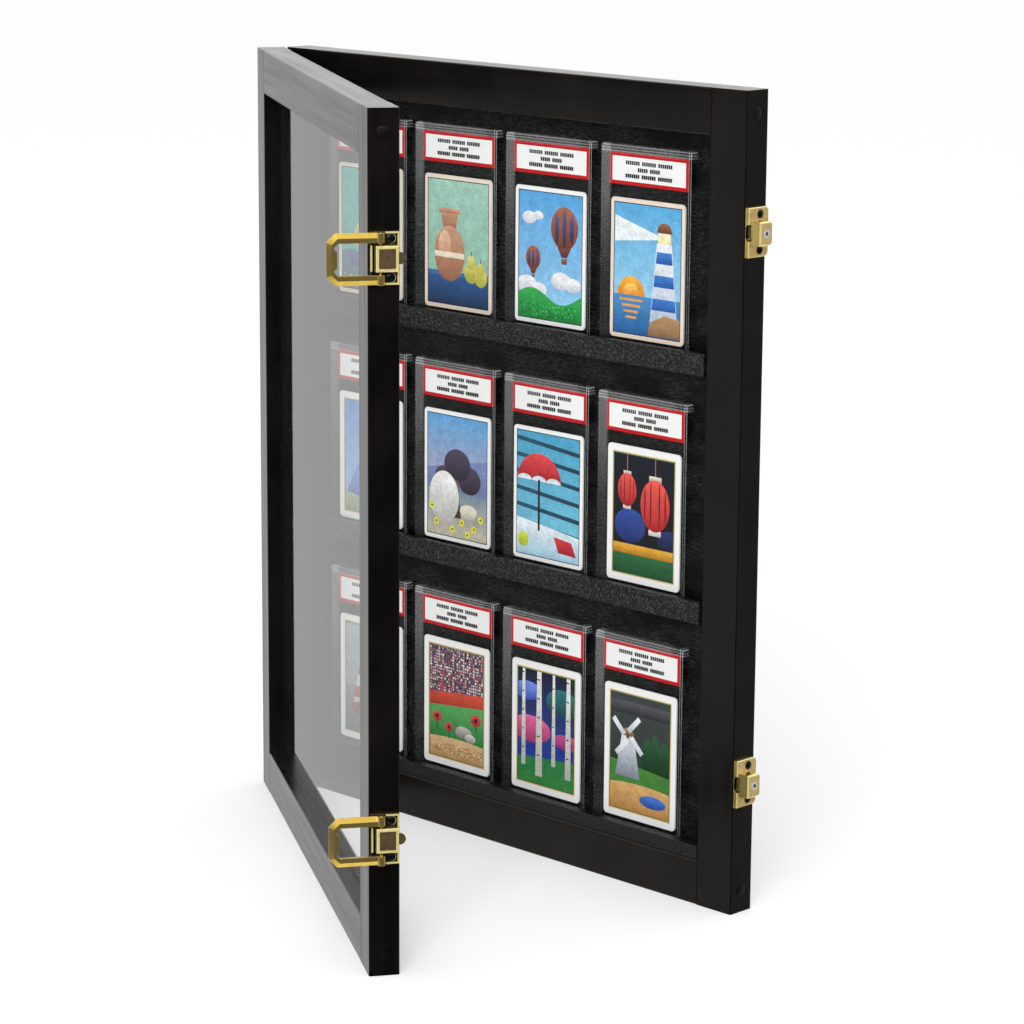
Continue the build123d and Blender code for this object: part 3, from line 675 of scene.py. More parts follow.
@dataclass(frozen=True)
class Metal:
    """Polished or plated metal with fine rubbing marks and a little uneven tone."""

    name: str
    colour: Colour
    dull: Colour
    roughness: float
    metallic: float = 1.0
    rub: float = 0.12
    dull_span: tuple[float, float] = (0.40, 0.75)

    def material(self) -> bpy.types.Material:
        """Make the finish.

        Returns:
            The finished material.
        """
        shader = Shader(self.name)
        coords = shader.place()
        clouds = shader.noise(coords, 260, 4, 0.6)
        marks = shader.noise(shader.place(stretch=(1, 1, 0.15)), 2600, 2)
        tone = shader.between(clouds, *self.dull_span, 0.0, 1.0)
        rough = shader.swing(clouds, self.roughness - 0.04, self.roughness + 0.08)
        inputs = {
            "Base Color": shader.blend(tone, self.colour, self.dull),
            "Roughness": rough,
            "Metallic": self.metallic,
            "Normal": shader.bump(marks, self.rub, 0.03 * MM),
        }
        return shader.solid(inputs)


@dataclass(frozen=True)
class KeyedPlug:
    """Chrome plating, with the keyhole in the end of each lock's plug painted as a black disc of shade."""

    name: str
    middle: Vector = field(default_factory=lambda: Vector((0.0, -2.6 * MM, 278.0 * MM)))
    spacing: float = 372.0 * MM
    keyhole: float = 1.15 * MM
    polish: float = 0.6
    roughness: float = 0.14

    def material(self) -> bpy.types.Material:
        """Make the finish.

        Returns:
            The finished material.
        """
        shader = Shader(self.name)
        parts = shader.add("SeparateXYZ", {"Vector": shader.place()}).outputs
        across = shader.maths("SUBTRACT", parts[1], self.middle.y)
        rise = shader.maths("ABSOLUTE", shader.maths("SUBTRACT", parts[2], self.middle.z))
        rise = shader.maths("SUBTRACT", rise, self.spacing / 2)
        squares = shader.maths("ADD", shader.maths("MULTIPLY", across, across),
                               shader.maths("MULTIPLY", rise, rise))
        # The keyhole is a black disc of painted shade.
        keyhole_shade = shader.maths("LESS_THAN", squares, self.keyhole ** 2)
        inputs = {
            "Base Color": shader.blend(keyhole_shade, ink("F4F5F8"), ink("060607")),
            "Metallic": shader.between(keyhole_shade, 0.0, 1.0, self.polish, 0.0),
            "Roughness": self.roughness,
        }
        return shader.solid(inputs)


@dataclass(frozen=True)
class ClearPlastic:
    """Clear plastic: on its near side gloss and a slight veil, over what stands behind it."""

    name: str
    bend: float
    roughness: float
    veil: float
    tint: Colour = (0.985, 0.99, 0.99, 1.0)
    haze: Colour = (0.80, 0.81, 0.82, 1.0)

    def clear(self, shader: Shader, veil: Any) -> bpy.types.NodeSocket:
        """Mix gloss, veil and what shows through.

        Args:
            shader: the material being made.
            veil: how much of the surface is veiled.

        Returns:
            The shader's socket.
        """
        near = shader.maths("SUBTRACT", 1.0, shader.add("NewGeometry").outputs["Backfacing"])
        through = shader.add("BsdfTransparent", {"Color": self.tint}).outputs[0]
        milky = shader.add("BsdfDiffuse", {"Color": self.haze}).outputs[0]
        veiled = shader.maths("MULTIPLY", near, veil)
        body = shader.add("MixShader", {0: veiled, 1: through, 2: milky}).outputs[0]
        gloss = shader.add("BsdfGlossy", {"Color": (1, 1, 1, 1), "Roughness": self.roughness}).outputs[0]
        bounce = shader.add("Fresnel", {"IOR": self.bend}).outputs["Fac"]
        share = shader.maths("MULTIPLY", near, bounce)
        return shader.add("MixShader", {0: share, 1: body, 2: gloss}).outputs[0]

    def material(self) -> bpy.types.Material:
        """Make the finish.

        Returns:
            The finished material.
        """
        shader = Shader(self.name)
        smears = shader.noise(shader.place(), 9, 3)
        veil = shader.swing(smears, self.veil * 0.85, self.veil * 1.15)
        return shader.finish(self.clear(shader, veil))


@dataclass(frozen=True)
class MouldedCase(ClearPlastic):
    """The holders' clear plastic, with painted reflection bands at the left and the top and painted
    highlight lines at the top and the right.
    """

    left_reflection: float = 0.16
    left_band: tuple[float, float] = (0.085, 0.120)
    left_rise: tuple[float, float] = (0.30, 0.95)
    left_foot: float = 0.12
    top_reflection: float = 0.07
    top_band: tuple[float, float] = (0.950, 0.956)
    top_end: tuple[float, float] = (0.855, 0.870)
    top_rest: float = 0.25
    line_highlight: float = 0.22
    line_width: float = 0.0045
    top_lines: tuple[float, ...] = (0.992, 0.978, 0.964)
    right_lines: tuple[float, ...] = (0.990, 0.968)
    right_strength: float = 1.5
    right_foot: float = 0.45

    def line(self, shader: Shader, along: bpy.types.NodeSocket, place: float) -> bpy.types.NodeSocket:
        """Paint one fine highlight line across a coordinate."""
        away = shader.maths("ABSOLUTE", shader.maths("SUBTRACT", along, place))
        return shader.between(away, self.line_width * 0.4, self.line_width, self.line_highlight, 0.0)

    def material(self) -> bpy.types.Material:
        """Make the finish, which reads each holder's own width and height.

        Returns:
            The finished material.
        """
        shader = Shader(self.name)
        spread = shader.add("UVMap", uv_map="Holder").outputs["UV"]
        parts = shader.add("SeparateXYZ", {"Vector": spread}).outputs
        across, up = parts[0], parts[1]
        # The left band is a painted reflection, stronger higher up; the top band is one too, weaker towards
        # the right.
        high = shader.between(up, *self.left_rise, self.left_foot, 1.0)
        left = shader.between(across, *self.left_band, self.left_reflection, 0.0)
        top = shader.between(up, *self.top_band, 0.0, self.top_reflection)
        top_reflection_reach = shader.between(across, *self.top_end, 1.0, self.top_rest)
        veil = shader.maths("MULTIPLY", left, high)
        veil = shader.maths("MULTIPLY_ADD", top, top_reflection_reach, veil)
        # Painted highlight lines along the top, and along the right fading towards the bottom.
        for place in self.top_lines:
            veil = shader.maths("ADD", veil, self.line(shader, up, place))
        fading = shader.between(up, 0.0, 1.0, self.right_foot, 1.0)
        for place in self.right_lines:
            edge = shader.maths("MULTIPLY", self.line(shader, across, place), self.right_strength)
            veil = shader.maths("MULTIPLY_ADD", edge, fading, veil)
        return shader.finish(self.clear(shader, shader.maths("ADD", veil, self.veil)))


@dataclass(frozen=True)
class Print:
    """Ink on coated card, read from each face's own colour."""

    name: str
    roughness: float = 0.32
    gloss: float = 0.14

    def material(self) -> bpy.types.Material:
        """Make the finish.

        Returns:
            The finished material.
        """
        shader = Shader(self.name)
        coords = shader.place()
        printed = shader.add("VertexColor", layer_name=Press.LAYER)
        inks, flat = printed.outputs["Color"], printed.outputs["Alpha"]
        broad = shader.noise(coords, 130, 4, 0.6)
        fine = shader.noise(coords, 700, 4, 0.7)
        screen = shader.noise(coords, 2400, 2)
        shade = shader.swing(broad, 0.88, 1.10)
        detail = shader.swing(fine, 0.86, 1.12)
        both = shader.maths("MULTIPLY", shade, detail)
        deep = shader.add("VectorMath", {0: inks, "Scale": both}, operation="SCALE").outputs[0]
        colour = shader.blend(flat, deep, inks)
        inputs = {
            "Base Color": colour, "Roughness": self.roughness, "Specular IOR Level": self.gloss,
            "Normal": shader.bump(screen, 0.05, 0.02 * MM),
        }
        return shader.solid(inputs)


# ---- Printing on card ----
class Press:
    """Lays inks on the front of a card or label, each over the last, from its lower left corner."""

    LAYER = "Ink"
    STEP = 0.006 * MM
    CANVAS = (70.0, 96.0)
    MARGIN = 1.0
    GROUND_MARGIN = 2.0
    CORNER_STEPS = 6
    DISC_STEPS = 28
    CREST_STEPS = 24
    SPOT_SIDES = 6
    OUTER_CORNER = 3.0
    INNER_CORNER = 0.4

    def __init__(self) -> None:
        """Start with nothing printed."""
        self.flat = 1.0
        self.flipped = False
        self.layer = 0
        self.shape = bmesh.new()
        self.inks = self.shape.loops.layers.float_color.new(self.LAYER)
        self.corner = Vector()
        self.size = self.CANVAS
        self.scale = (MM, MM)

    def at(self, x: float, y: float) -> Vector:
        """Find where a point of the drawing lies on the topmost ink."""
        return self.corner + Vector((x * self.scale[0], -self.layer * self.STEP, y * self.scale[1]))

    def stock(self, low: Vector, high: Vector, radius: float, colour: str, size: Point) -> None:
        """Cut a sheet of card to a box and make it the one that is printed.

        Args:
            low: the box's lowest corner.
            high: its highest corner.
            radius: the radius of the sheet's corners.
            colour: the card's own colour.
            size: the width and height of the drawing that will fill it.
        """
        width, height = high.x - low.x, high.z - low.z
        self.corner, self.size, self.layer, self.flat = low.copy(), size, 0, 1.0
        self.flipped = False
        self.scale = (width / size[0], height / size[1])
        outline = rounded_outline(width, height, radius, self.CORNER_STEPS)
        middle_x, middle_z = (low.x + high.x) / 2, (low.z + high.z) / 2
        rings = [[Vector((middle_x + x, y, middle_z + z)) for x, z in outline] for y in (low.y, high.y)]
        loops = [[self.shape.verts.new(point) for point in ring] for ring in rings]
        faces = [self.shape.faces.new(loops[0]), self.shape.faces.new(list(reversed(loops[1])))]
        for i in range(len(outline)):
            j = (i + 1) % len(outline)
            faces.append(self.shape.faces.new((loops[0][j], loops[0][i], loops[1][i], loops[1][j])))
        for face in faces:
            for loop in face.loops:
                loop[self.inks] = (*ink(colour)[:3], self.flat)

    def area(self, points: Sequence[Point], colour: str, top: str | None = None) -> None:
        """Print one area at the height of the topmost ink.

        Args:
            points: its outline.
            colour: its colour, or its colour along its lowest point.
            top: its colour at its highest point, if it fades.
        """
        if self.flipped:
            points = [(self.size[0] - x, y) for x, y in points]
        turn = sum(a[0] * b[1] - b[0] * a[1] for a, b in zip(points, [*points[1:], points[0]]))
        ordered = list(points) if turn > 0 else list(reversed(points))
        right, upper = self.size[0] - self.MARGIN, self.size[1] - self.MARGIN
        ordered = [(min(max(x, self.MARGIN), right), min(max(y, self.MARGIN), upper)) for x, y in ordered]
        face = self.shape.faces.new([self.shape.verts.new(self.at(x, y)) for x, y in ordered])
        low, high = min(y for _, y in points), max(y for _, y in points)
        for loop, (_, y) in zip(face.loops, ordered):
            share = (y - low) / max(high - low, 1e-6) if top else 0.0
            mixed = [a + (b - a) * share for a, b in zip(ink(colour), ink(top or colour))]
            loop[self.inks] = (*mixed[:3], self.flat)

    def polygon(self, points: Sequence[Point], colour: str, top: str | None = None) -> None:
        """Print one area over everything so far, in one colour or fading up to a second."""
        self.layer += 1
        self.area(points, colour, top)

    def box(self, x: float, y: float, width: float, height: float, colour: str,
            top: str | None = None) -> None:
        """Print an upright rectangle, in one colour or fading up to a second."""
        corners = [(x, y), (x + width, y), (x + width, y + height), (x, y + height)]
        self.polygon(corners, colour, top)

    def disc(self, x: float, y: float, radius: float, colour: str, top: str | None = None,
             flat: float = 1.0, start: float = 0.0, sweep: float = 360.0) -> None:
        """Print a disc, an oval, or a slice of one.

        Args:
            x: its middle.
            y: its middle.
            radius: half its width.
            colour: its colour, or its colour at the bottom.
            top: its colour at the top, if it fades.
            flat: its height as a share of its width.
            start: the angle that a slice starts at, in degrees.
            sweep: the slice's angle.
        """
        steps = self.DISC_STEPS
        turns = [math.radians(start + sweep * i / steps) for i in range(steps + (sweep < 360))]
        points = [(x + radius * math.cos(t), y + radius * flat * math.sin(t)) for t in turns]
        self.polygon(points, colour, top)

    def ground(self, crest: Callable[[float], float], colour: str, top: str | None = None) -> None:
        """Print ground over the drawing's whole width, up to a curved crest.

        Args:
            crest: gives the crest's height for a share of the width.
            colour: its colour, or its colour at the bottom.
            top: its colour at the crest, if it fades.
        """
        steps, margin = self.CREST_STEPS, self.GROUND_MARGIN
        width = self.size[0] - 2 * margin
        points = [(margin, margin), (margin + width, margin)]
        points += [(margin + width * i / steps, crest(i / steps)) for i in range(steps, -1, -1)]
        self.polygon(points, colour, top)

    def spots(self, x: float, y: float, width: float, height: float, colours: Sequence[str],
              count: int, radius: float, seed: int) -> None:
        """Print scattered spots, at most one to each cell of a grid.

        Args:
            x: the area's left side.
            y: its lower side.
            width: its width.
            height: its height.
            colours: what the spots are printed in.
            count: about how many there are.
            radius: the largest spot's radius.
            seed: fixes their places and colours.
        """
        self.layer += 1
        chance = random.Random(seed)
        cell = max(math.sqrt(width * height / count), 2 * radius)
        turns = [math.tau * i / self.SPOT_SIDES for i in range(self.SPOT_SIDES)]
        for column in range(int(width / cell)):
            for row in range(int(height / cell)):
                size = radius * chance.uniform(0.5, 1.0)
                room = cell / 2 - size
                spot_x = x + (column + 0.5) * cell + chance.uniform(-room, room)
                spot_y = y + (row + 0.5) * cell + chance.uniform(-room, room)
                points = [(spot_x + size * math.cos(t), spot_y + size * math.sin(t)) for t in turns]
                self.area(points, chance.choice(colours))

    def border(self, inset: float, colour: str) -> None:
        """Print a border over the sheet's edge.

        Args:
            inset: its width.
            colour: its colour.
        """
        self.layer += 1
        width, height = self.size
        steps = self.CORNER_STEPS
        outer = rounded_outline(width, height, self.OUTER_CORNER, steps)
        inner = rounded_outline(width - 2 * inset, height - 2 * inset, self.INNER_CORNER, steps)
        loops = [[self.shape.verts.new(self.at(x + width / 2, y + height / 2)) for x, y in ring]
                 for ring in (outer, inner)]
        for i in range(len(outer)):
            j = (i + 1) % len(outer)
            face = self.shape.faces.new((loops[0][i], loops[0][j], loops[1][j], loops[1][i]))
            for loop in face.loops:
                loop[self.inks] = (*ink(colour)[:3], 1.0)

    def mesh(self, name: str) -> bpy.types.Mesh:
        """Finish printing.

        Args:
            name: the mesh's name.

        Returns:
            All the printed sheets as one mesh.
        """
        mesh = bpy.data.meshes.new(name)
        self.shape.to_mesh(mesh)
        self.shape.free()
        return mesh


WHITE = "F8F8F6"
CREAM = "F0DFCD"
BLACK = "0E0F12"
GREEN_LINE = "20743A"
PEACH = "EDC490"


class CardPictures:
    """Twelve plain pictures for the cards, drawn for this case alone."""

    def __init__(self, press: Press) -> None:
        """Keep the press that prints the cards."""
        self.press = press

    def sky(self, low: str, high: str, flipped: bool = False) -> None:
        """Print a fading ground over the whole picture.

        Args:
            low: the colour code at the bottom.
            high: the colour code at the top.
            flipped: whether the picture is printed the other way round.
        """
        p = self.press
        p.flat, p.flipped = 0.0, flipped
        width, height = p.size
        edge = p.GROUND_MARGIN
        p.box(edge, edge, width - 2 * edge, height - 2 * edge, low, high)

    def lined_border(self) -> None:
        """Print a plain white border, with a peach line and a green line inside it."""
        p = self.press
        p.flat, p.flipped = 1.0, False
        p.border(6.2, GREEN_LINE)
        p.border(5.5, PEACH)
        p.border(4.6, WHITE)

    def plain_border(self, colour: str) -> None:
        """Print a plain border with a fine dark line inside it.

        Args:
            colour: the border's colour.
        """
        p = self.press
        p.flat, p.flipped = 1.0, False
        p.border(3.5, BLACK)
        p.border(2.9, colour)

    def sailing_boat(self) -> None:
        """Yellow sails on a teal sea."""
        p = self.press
        self.sky("2E9C92", "58BDB0")
        p.ground(lambda s: 30 + 2.5 * math.sin(9 * s), "123F5C", "2A7088")
        p.polygon([(35, 34), (35, 84), (60, 38)], "F2C62E", "FAE88A")
        p.polygon([(33, 34), (33, 72), (12, 37)], "E9B21E", "F4D65A")
        p.polygon([(9, 31), (15, 20), (54, 20), (62, 31)], "182E64", "2A4A90")
        p.spots(5, 4, 60, 12, ["3C8AA0", "D8E6E4", "F0D040"], 60, 0.9, 3)
        p.disc(54, 80, 6, "F6EFD2")
        self.plain_border(CREAM)

    def clay_vase(self) -> None:
        """A tan clay vase and two pears on a dark blue table, on a pale green ground."""
        p = self.press
        self.sky("8CBDA8", "A8D2C0")
        p.box(2, 2, 66, 22, "122C50", "2C5A92")
        p.polygon([(2, 24), (68, 24), (68, 27), (2, 27)], "3C6CA4")
        p.polygon([(17, 70), (35, 70), (32, 56), (20, 56)], "9A6448", "D09A78")
        p.disc(26, 40, 16, "9A6448", "D8A480", flat=1.25)
        p.disc(21, 46, 6.5, "C88E6E", "F0C6A6", flat=1.6)
        p.box(10.6, 37, 30.8, 4, "F5E8D2")
        p.box(15, 69, 22, 3.4, "B5795A", "E2B08E")
        for x, y, r in ((49, 28, 7.5), (59, 25, 6.5)):
            p.disc(x, y, r, "A8A83C", "E0D86A")
            p.disc(x, y + r, r * 0.55, "B8B448", "E6DE7A", flat=1.3)
            p.box(x - 0.4, y + r * 1.6, 0.8, 3.4, "5A3A28")
        self.plain_border(CREAM)

    def striped_balloon(self) -> None:
        """Two balloons over cloud and green hills."""
        p = self.press
        self.sky("9AD0F2", "58A6E2")
        for x, y, r in ((49, 69, 13.5), (18, 46, 7.5)):
            p.disc(x, y, r, "6A3224", "B06C50", flat=1.12)
            for share in (-0.55, 0.0, 0.55):
                p.disc(x + r * share, y, r * 0.15, "20223E", "5A5E92", flat=6.4 - abs(share) * 2.4)
            p.polygon([(x - r * 0.5, y - r), (x + r * 0.5, y - r), (x + r * 0.2, y - r * 1.5),
                       (x - r * 0.2, y - r * 1.5)], "54302A", "7A4634")
            p.box(x - r * 0.2, y - r * 1.85, r * 0.4, r * 0.3, "6E4A30", "9A6E48")
        clouds = ((46, 32, 10), (58, 30, 8), (12, 27, 10), (24, 24, 8), (14, 74, 7), (23, 76, 5))
        for x, y, r in clouds:
            p.disc(x, y, r, "D2D2DC", "FAFAFC", flat=0.62)
        p.ground(lambda s: 20 + 5 * math.sin(7 * s), "0E7A30", "34B456")
        p.spots(5, 5, 60, 10, ["0A5A24", "4CC86A"], 60, 0.9, 5)
        self.plain_border(WHITE)

    def lighthouse(self) -> None:
        """A blue and white tower on the right, over an orange sun on the water."""
        p = self.press
        self.sky("A8DAF2", "58AEE0")
        p.ground(lambda s: 30.0, "1C5C9E", "4A90C8")
        p.disc(20, 30, 13, "E8861C", "F9B840", start=0, sweep=180)
        p.disc(20, 30, 8, "F29A2C", "FCD070", start=0, sweep=180)
        for row in range(4):
            p.box(9 + 2 * row, 26 - 4 * row, 22 - 4 * row, 1.6, "F0A040")
        p.polygon([(38, 13), (64, 13), (58, 68), (44, 68)], "B8C4D8", "F2F4F8")
        for row in range(3):
            base, half = 22 + 16 * row, 11.5 - 1.8 * row
            p.polygon([(51 - half, base), (51 + half, base), (51 + half - 0.9, base + 8),
                       (51 - half + 0.9, base + 8)], "2458A8", "3C80D0")
        p.box(45, 68, 12, 7, "F4E6A0", "FBF6D8")
        p.disc(51, 75, 7, "6A3E2A", "A06A4A", start=0, sweep=180)
        p.polygon([(45, 70), (45, 73), (4, 84), (4, 66)], "EAF4F8", "F6FAFC")
        p.polygon([(36, 4), (68, 4), (68, 17), (52, 19), (38, 13)], "8C6A4C", "C09868")
        self.plain_border(CREAM)

    def blue_peak(self) -> None:
        """A royal blue peak with snow under a blue sky."""
        p = self.press
        self.sky("9FC4EE", "4688D4")
        p.polygon([(6, 11), (38, 76), (68, 26), (68, 11)], "16348C", "3C6BCB")
        p.polygon([(38, 76), (30, 58), (36, 61), (41, 56), (48, 61)], "E2E8F4", "FFFFFF")
        p.polygon([(3, 11), (20, 42), (36, 11)], "1F4AA6", "5A86DA")
        p.polygon([(40, 11), (54, 34), (67, 11)], "20306A", "3E5CB0")
        p.ground(lambda s: 17 + 3 * math.sin(6 * s + 1), "6C7E5A", "A9B88E")
        self.lined_border()

    def field_tree(self) -> None:
        """A dark tree over pale boulders between blue and pink."""
        p = self.press
        self.sky("D8A9A4", "5CA8DE", flipped=True)
        p.ground(lambda s: 64 - 12 * s, "6A5A8E", "7C92C4")
        p.ground(lambda s: 36 + 4 * s, "C9BFA8", "6E8C9C")
        for x, y, r in ((22, 47, 12), (48, 46, 11), (35, 57, 14)):
            p.disc(x, y, r, "2A2230", "54485E", flat=0.85)
        p.polygon([(31, 18), (42, 18), (38, 46), (34, 46)], "4A2C20", "7A4E38")
        p.disc(49, 32, 16, "B8B8B4", "F6F5F0", flat=1.2)
        p.disc(44, 38, 8, "DAD9D2", "FFFFFF", flat=1.2)
        p.disc(23, 24, 9, "C4B8A2", "F0E8D8", flat=0.6)
        for x, y in ((10, 20), (17, 12), (30, 15), (40, 9), (57, 13), (62, 24), (24, 7)):
            p.disc(x, y, 2.6, "EEE22C")
            p.disc(x, y, 1.0, "5A7A2A")
        self.plain_border(WHITE)

    def red_umbrella(self) -> None:
        """A red umbrella over a pale cloth on sky-blue boards."""
        p = self.press
        self.sky("7CC8E2", "4CA6CC", flipped=True)
        for i in range(7):
            base = 8 + 12 * i
            p.polygon([(2, base), (68, base + 6), (68, base + 9), (2, base + 3)], "1A3648", "2C5A74")
        p.polygon([(2, 2), (68, 2), (68, 30), (2, 22)], "9CCBE2", "F2F8FB")
        p.polygon([(6, 8), (24, 9), (29, 20), (11, 18)], "A0141E", "DC3C40")
        p.disc(60, 14, 5.4, "A8B828", "DCEC4A")
        p.disc(44, 58, 22, "A81220", "EE4C50", flat=0.9, start=0, sweep=180)
        for shift in (-14.7, 0.0, 14.7):
            p.disc(44 + shift, 58, 7.3, "F4F2EE", "C8E2F0", flat=0.5, start=0, sweep=180)
        p.box(43.1, 22, 2.0, 37, "2C1A18")
        self.plain_border(WHITE)

    def red_lanterns(self) -> None:
        """Two red lanterns hung in the dark over a lamp-lit wall."""
        p = self.press
        self.sky("090B10", "141826")
        p.disc(22, 40, 15, "1A2A64", "3450A4", flat=0.8)
        p.disc(60, 34, 12, "14183A", "2A3470", flat=0.6)
        p.box(4, 20, 62, 7, "B87A14", "E8B038")
        p.ground(lambda s: 20.0, "143E22", "2A6A3C")
        for x, y, r in ((46, 57, 14), (19, 65, 9)):
            p.box(x - 0.4, y, 0.8, 92 - y, "A87040")
            p.box(x - r * 0.42, y + r * 1.2, r * 0.84, r * 0.28, "A89A8C", "EEE6DC")
            p.box(x - r * 0.42, y - r * 1.5, r * 0.84, r * 0.28, "B8B4AE", "F4F2EE")
            p.disc(x, y, r, "A8141E", "F45A50", flat=1.3)
            for share in (-0.7, -0.3, 0.3, 0.7):
                p.disc(x + r * share, y, r * 0.05, "7A0E16", flat=24.0 * math.sqrt(1 - share ** 2))
        self.lined_border()

    def harbour_buoy(self) -> None:
        """A red and white buoy on grey water."""
        p = self.press
        self.sky("6E7A80", "B4BEC4")
        p.ground(lambda s: 40 + 2 * math.sin(8 * s), "3E484C", "7E8A8E")
        p.polygon([(14, 26), (46, 26), (38, 60), (22, 60)], "B8B6B4", "F4F2F0")
        p.polygon([(15.5, 33), (44.5, 33), (42.4, 42), (17.6, 42)], "8E1420", "C42430")
        p.polygon([(20, 51), (40, 51), (38, 60), (22, 60)], "A01A26", "D03038")
        p.disc(30, 66, 6.5, "B82428", "F05A50")
        p.disc(30, 25, 19, "6E2026", "9A3A40", flat=0.28)
        self.lined_border()

    def flower_field(self) -> None:
        """A crowded flower bed behind a red wall, a lawn with poppies and a sandy path."""
        p = self.press
        self.sky("4A3A44", "6A5664")
        petals = ("F0E8E0", "D2403C", "303C7C", "E8A8A0", "F4DCBA", "1E1A24", "C0C8E4")
        p.spots(4, 56, 62, 36, petals, 560, 1.1, 11)
        p.polygon([(2, 44), (68, 50), (68, 60), (2, 54)], "A82818", "E0583A")
        p.polygon([(2, 20), (68, 20), (68, 50), (2, 44)], "287A38", "5CB060")
        p.ground(lambda s: 20 + 8 * s * (1 - s), "B48656", "DEBB8C")
        p.spots(5, 10, 58, 9, ["3A2A20", "EED2A8", "7A5A3C"], 90, 0.8, 12)
        for x, y, r in ((14, 36, 5.0), (27, 30, 4.2), (56, 40, 5.4)):
            p.box(x - 0.5, y - 9, 1.0, 9, "1C5A28")
            p.disc(x, y, r, "A8141E", "E8484C", flat=0.8)
            p.disc(x, y, r * 0.35, "1E1A24")
        p.disc(43, 28, 9, "6E6E6A", "C8C6BA", flat=0.55)
        p.disc(50, 25, 6, "8E8E88", "E2E0D6", flat=0.55)
        self.lined_border()

    def pale_birches(self) -> None:
        """Four pale birch trunks on a lawn before blue and magenta."""
        p = self.press
        self.sky("2A48B0", "0C1216")
        p.disc(52, 70, 17, "0E3E46", "2A7A80", flat=0.6)
        p.disc(16, 74, 14, "2C4EC0", "7C9AEE", flat=0.5)
        p.disc(20, 46, 20, "9A2A64", "EE6AA4", flat=0.5)
        p.disc(56, 42, 14, "8E2A70", "C85098", flat=0.4)
        p.ground(lambda s: 24 + 5 * s, "3C8A42", "2A7A48")
        for x, half, base in ((12, 2.2, 18), (28, 3.6, 12), (43, 2.0, 22), (58, 3.0, 15)):
            p.polygon([(x - half, base), (x + half, base), (x + half * 0.6, 93), (x - half * 0.6, 93)],
                      "B8B7AC", "F2F1E8")
            for knot in range(5):
                p.box(x - half * 0.6, base + 7 + 14 * knot + 2.7 * (x % 5), half * 0.8, 1.0, "2E2C2A")
        self.lined_border()

    def hill_windmill(self) -> None:
        """A small pale mill on a green hill, a dark wood and a blue pond in tan ground."""
        p = self.press
        self.sky("1E3A24", "3E4044")
        p.box(3, 76, 64, 9, "26282C", "54565C")
        for x, r in ((42, 5), (50, 6), (59, 5), (65, 4)):
            p.disc(x, 46, r, "142A18", "2C5A34", flat=3.2)
        p.ground(lambda s: 42 - 6 * s, "3E7A30", "4C8A40")
        p.ground(lambda s: 24 + 10 * s * (1 - s), "B07838", "DCB070")
        p.disc(48, 16, 13, "1C459C", "4A7CD8", flat=0.35)
        p.polygon([(11, 30), (35, 30), (29, 60), (17, 60)], "7A8294", "E2E6EE")
        p.disc(23, 60, 6, "7A5A3C", "B08A60", start=0, sweep=180)
        hub, root, tip, breadth = Vector((23, 60)), 3, 18, 4
        for turn in (45, 135, 225, 315):
            out = Vector((math.cos(math.radians(turn)), math.sin(math.radians(turn))))
            side = Vector((-out.y, out.x)) * breadth
            corners = [hub + out * root, hub + out * tip, hub + out * tip + side, hub + out * root + side]
            p.polygon([(c.x, c.y) for c in corners], "C8CCD6", "F8F9FC")
        p.disc(23, 60, 1.8, "6A4A34")
        self.lined_border()

    def in_order(self) -> list[Callable[[], None]]:
        """List the pictures from the lowest row's left card to the top row's right card.

        Returns:
            What prints each picture.
        """
        return [
            self.harbour_buoy, self.flower_field, self.pale_birches, self.hill_windmill,
            self.blue_peak, self.field_tree, self.red_umbrella, self.red_lanterns,
            self.sailing_boat, self.clay_vase, self.striped_balloon, self.lighthouse,
        ]


# ---- Sub-assemblies ----
def dress(names: Sequence[str], material: bpy.types.Material) -> None:
    """Give nodes of the frame a finish.

    Args:
        names: the nodes.
        material: the finish.
    """
    for name in names:
        node = frame["nodes"][name]
        if not node.material_slots:
            node.data.materials.append(material)
        for slot in node.material_slots:
            slot.material = material
        log.info("node %s: %s", name, material.name)


def settle(piece: bpy.types.Object, body: str, nodes: Sequence[str]) -> bpy.types.Object:
    """Put a new piece on its body, in the place of the nodes that it stands for.

    Args:
        piece: the new piece.
        body: the body that it rides on.
        nodes: the nodes that it replaces.

    Returns:
        The piece.
    """
    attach(piece, body)
    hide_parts(*nodes)
    log.info("piece %s: %d faces, on %s", piece.name, len(piece.data.polygons), body)
    return piece


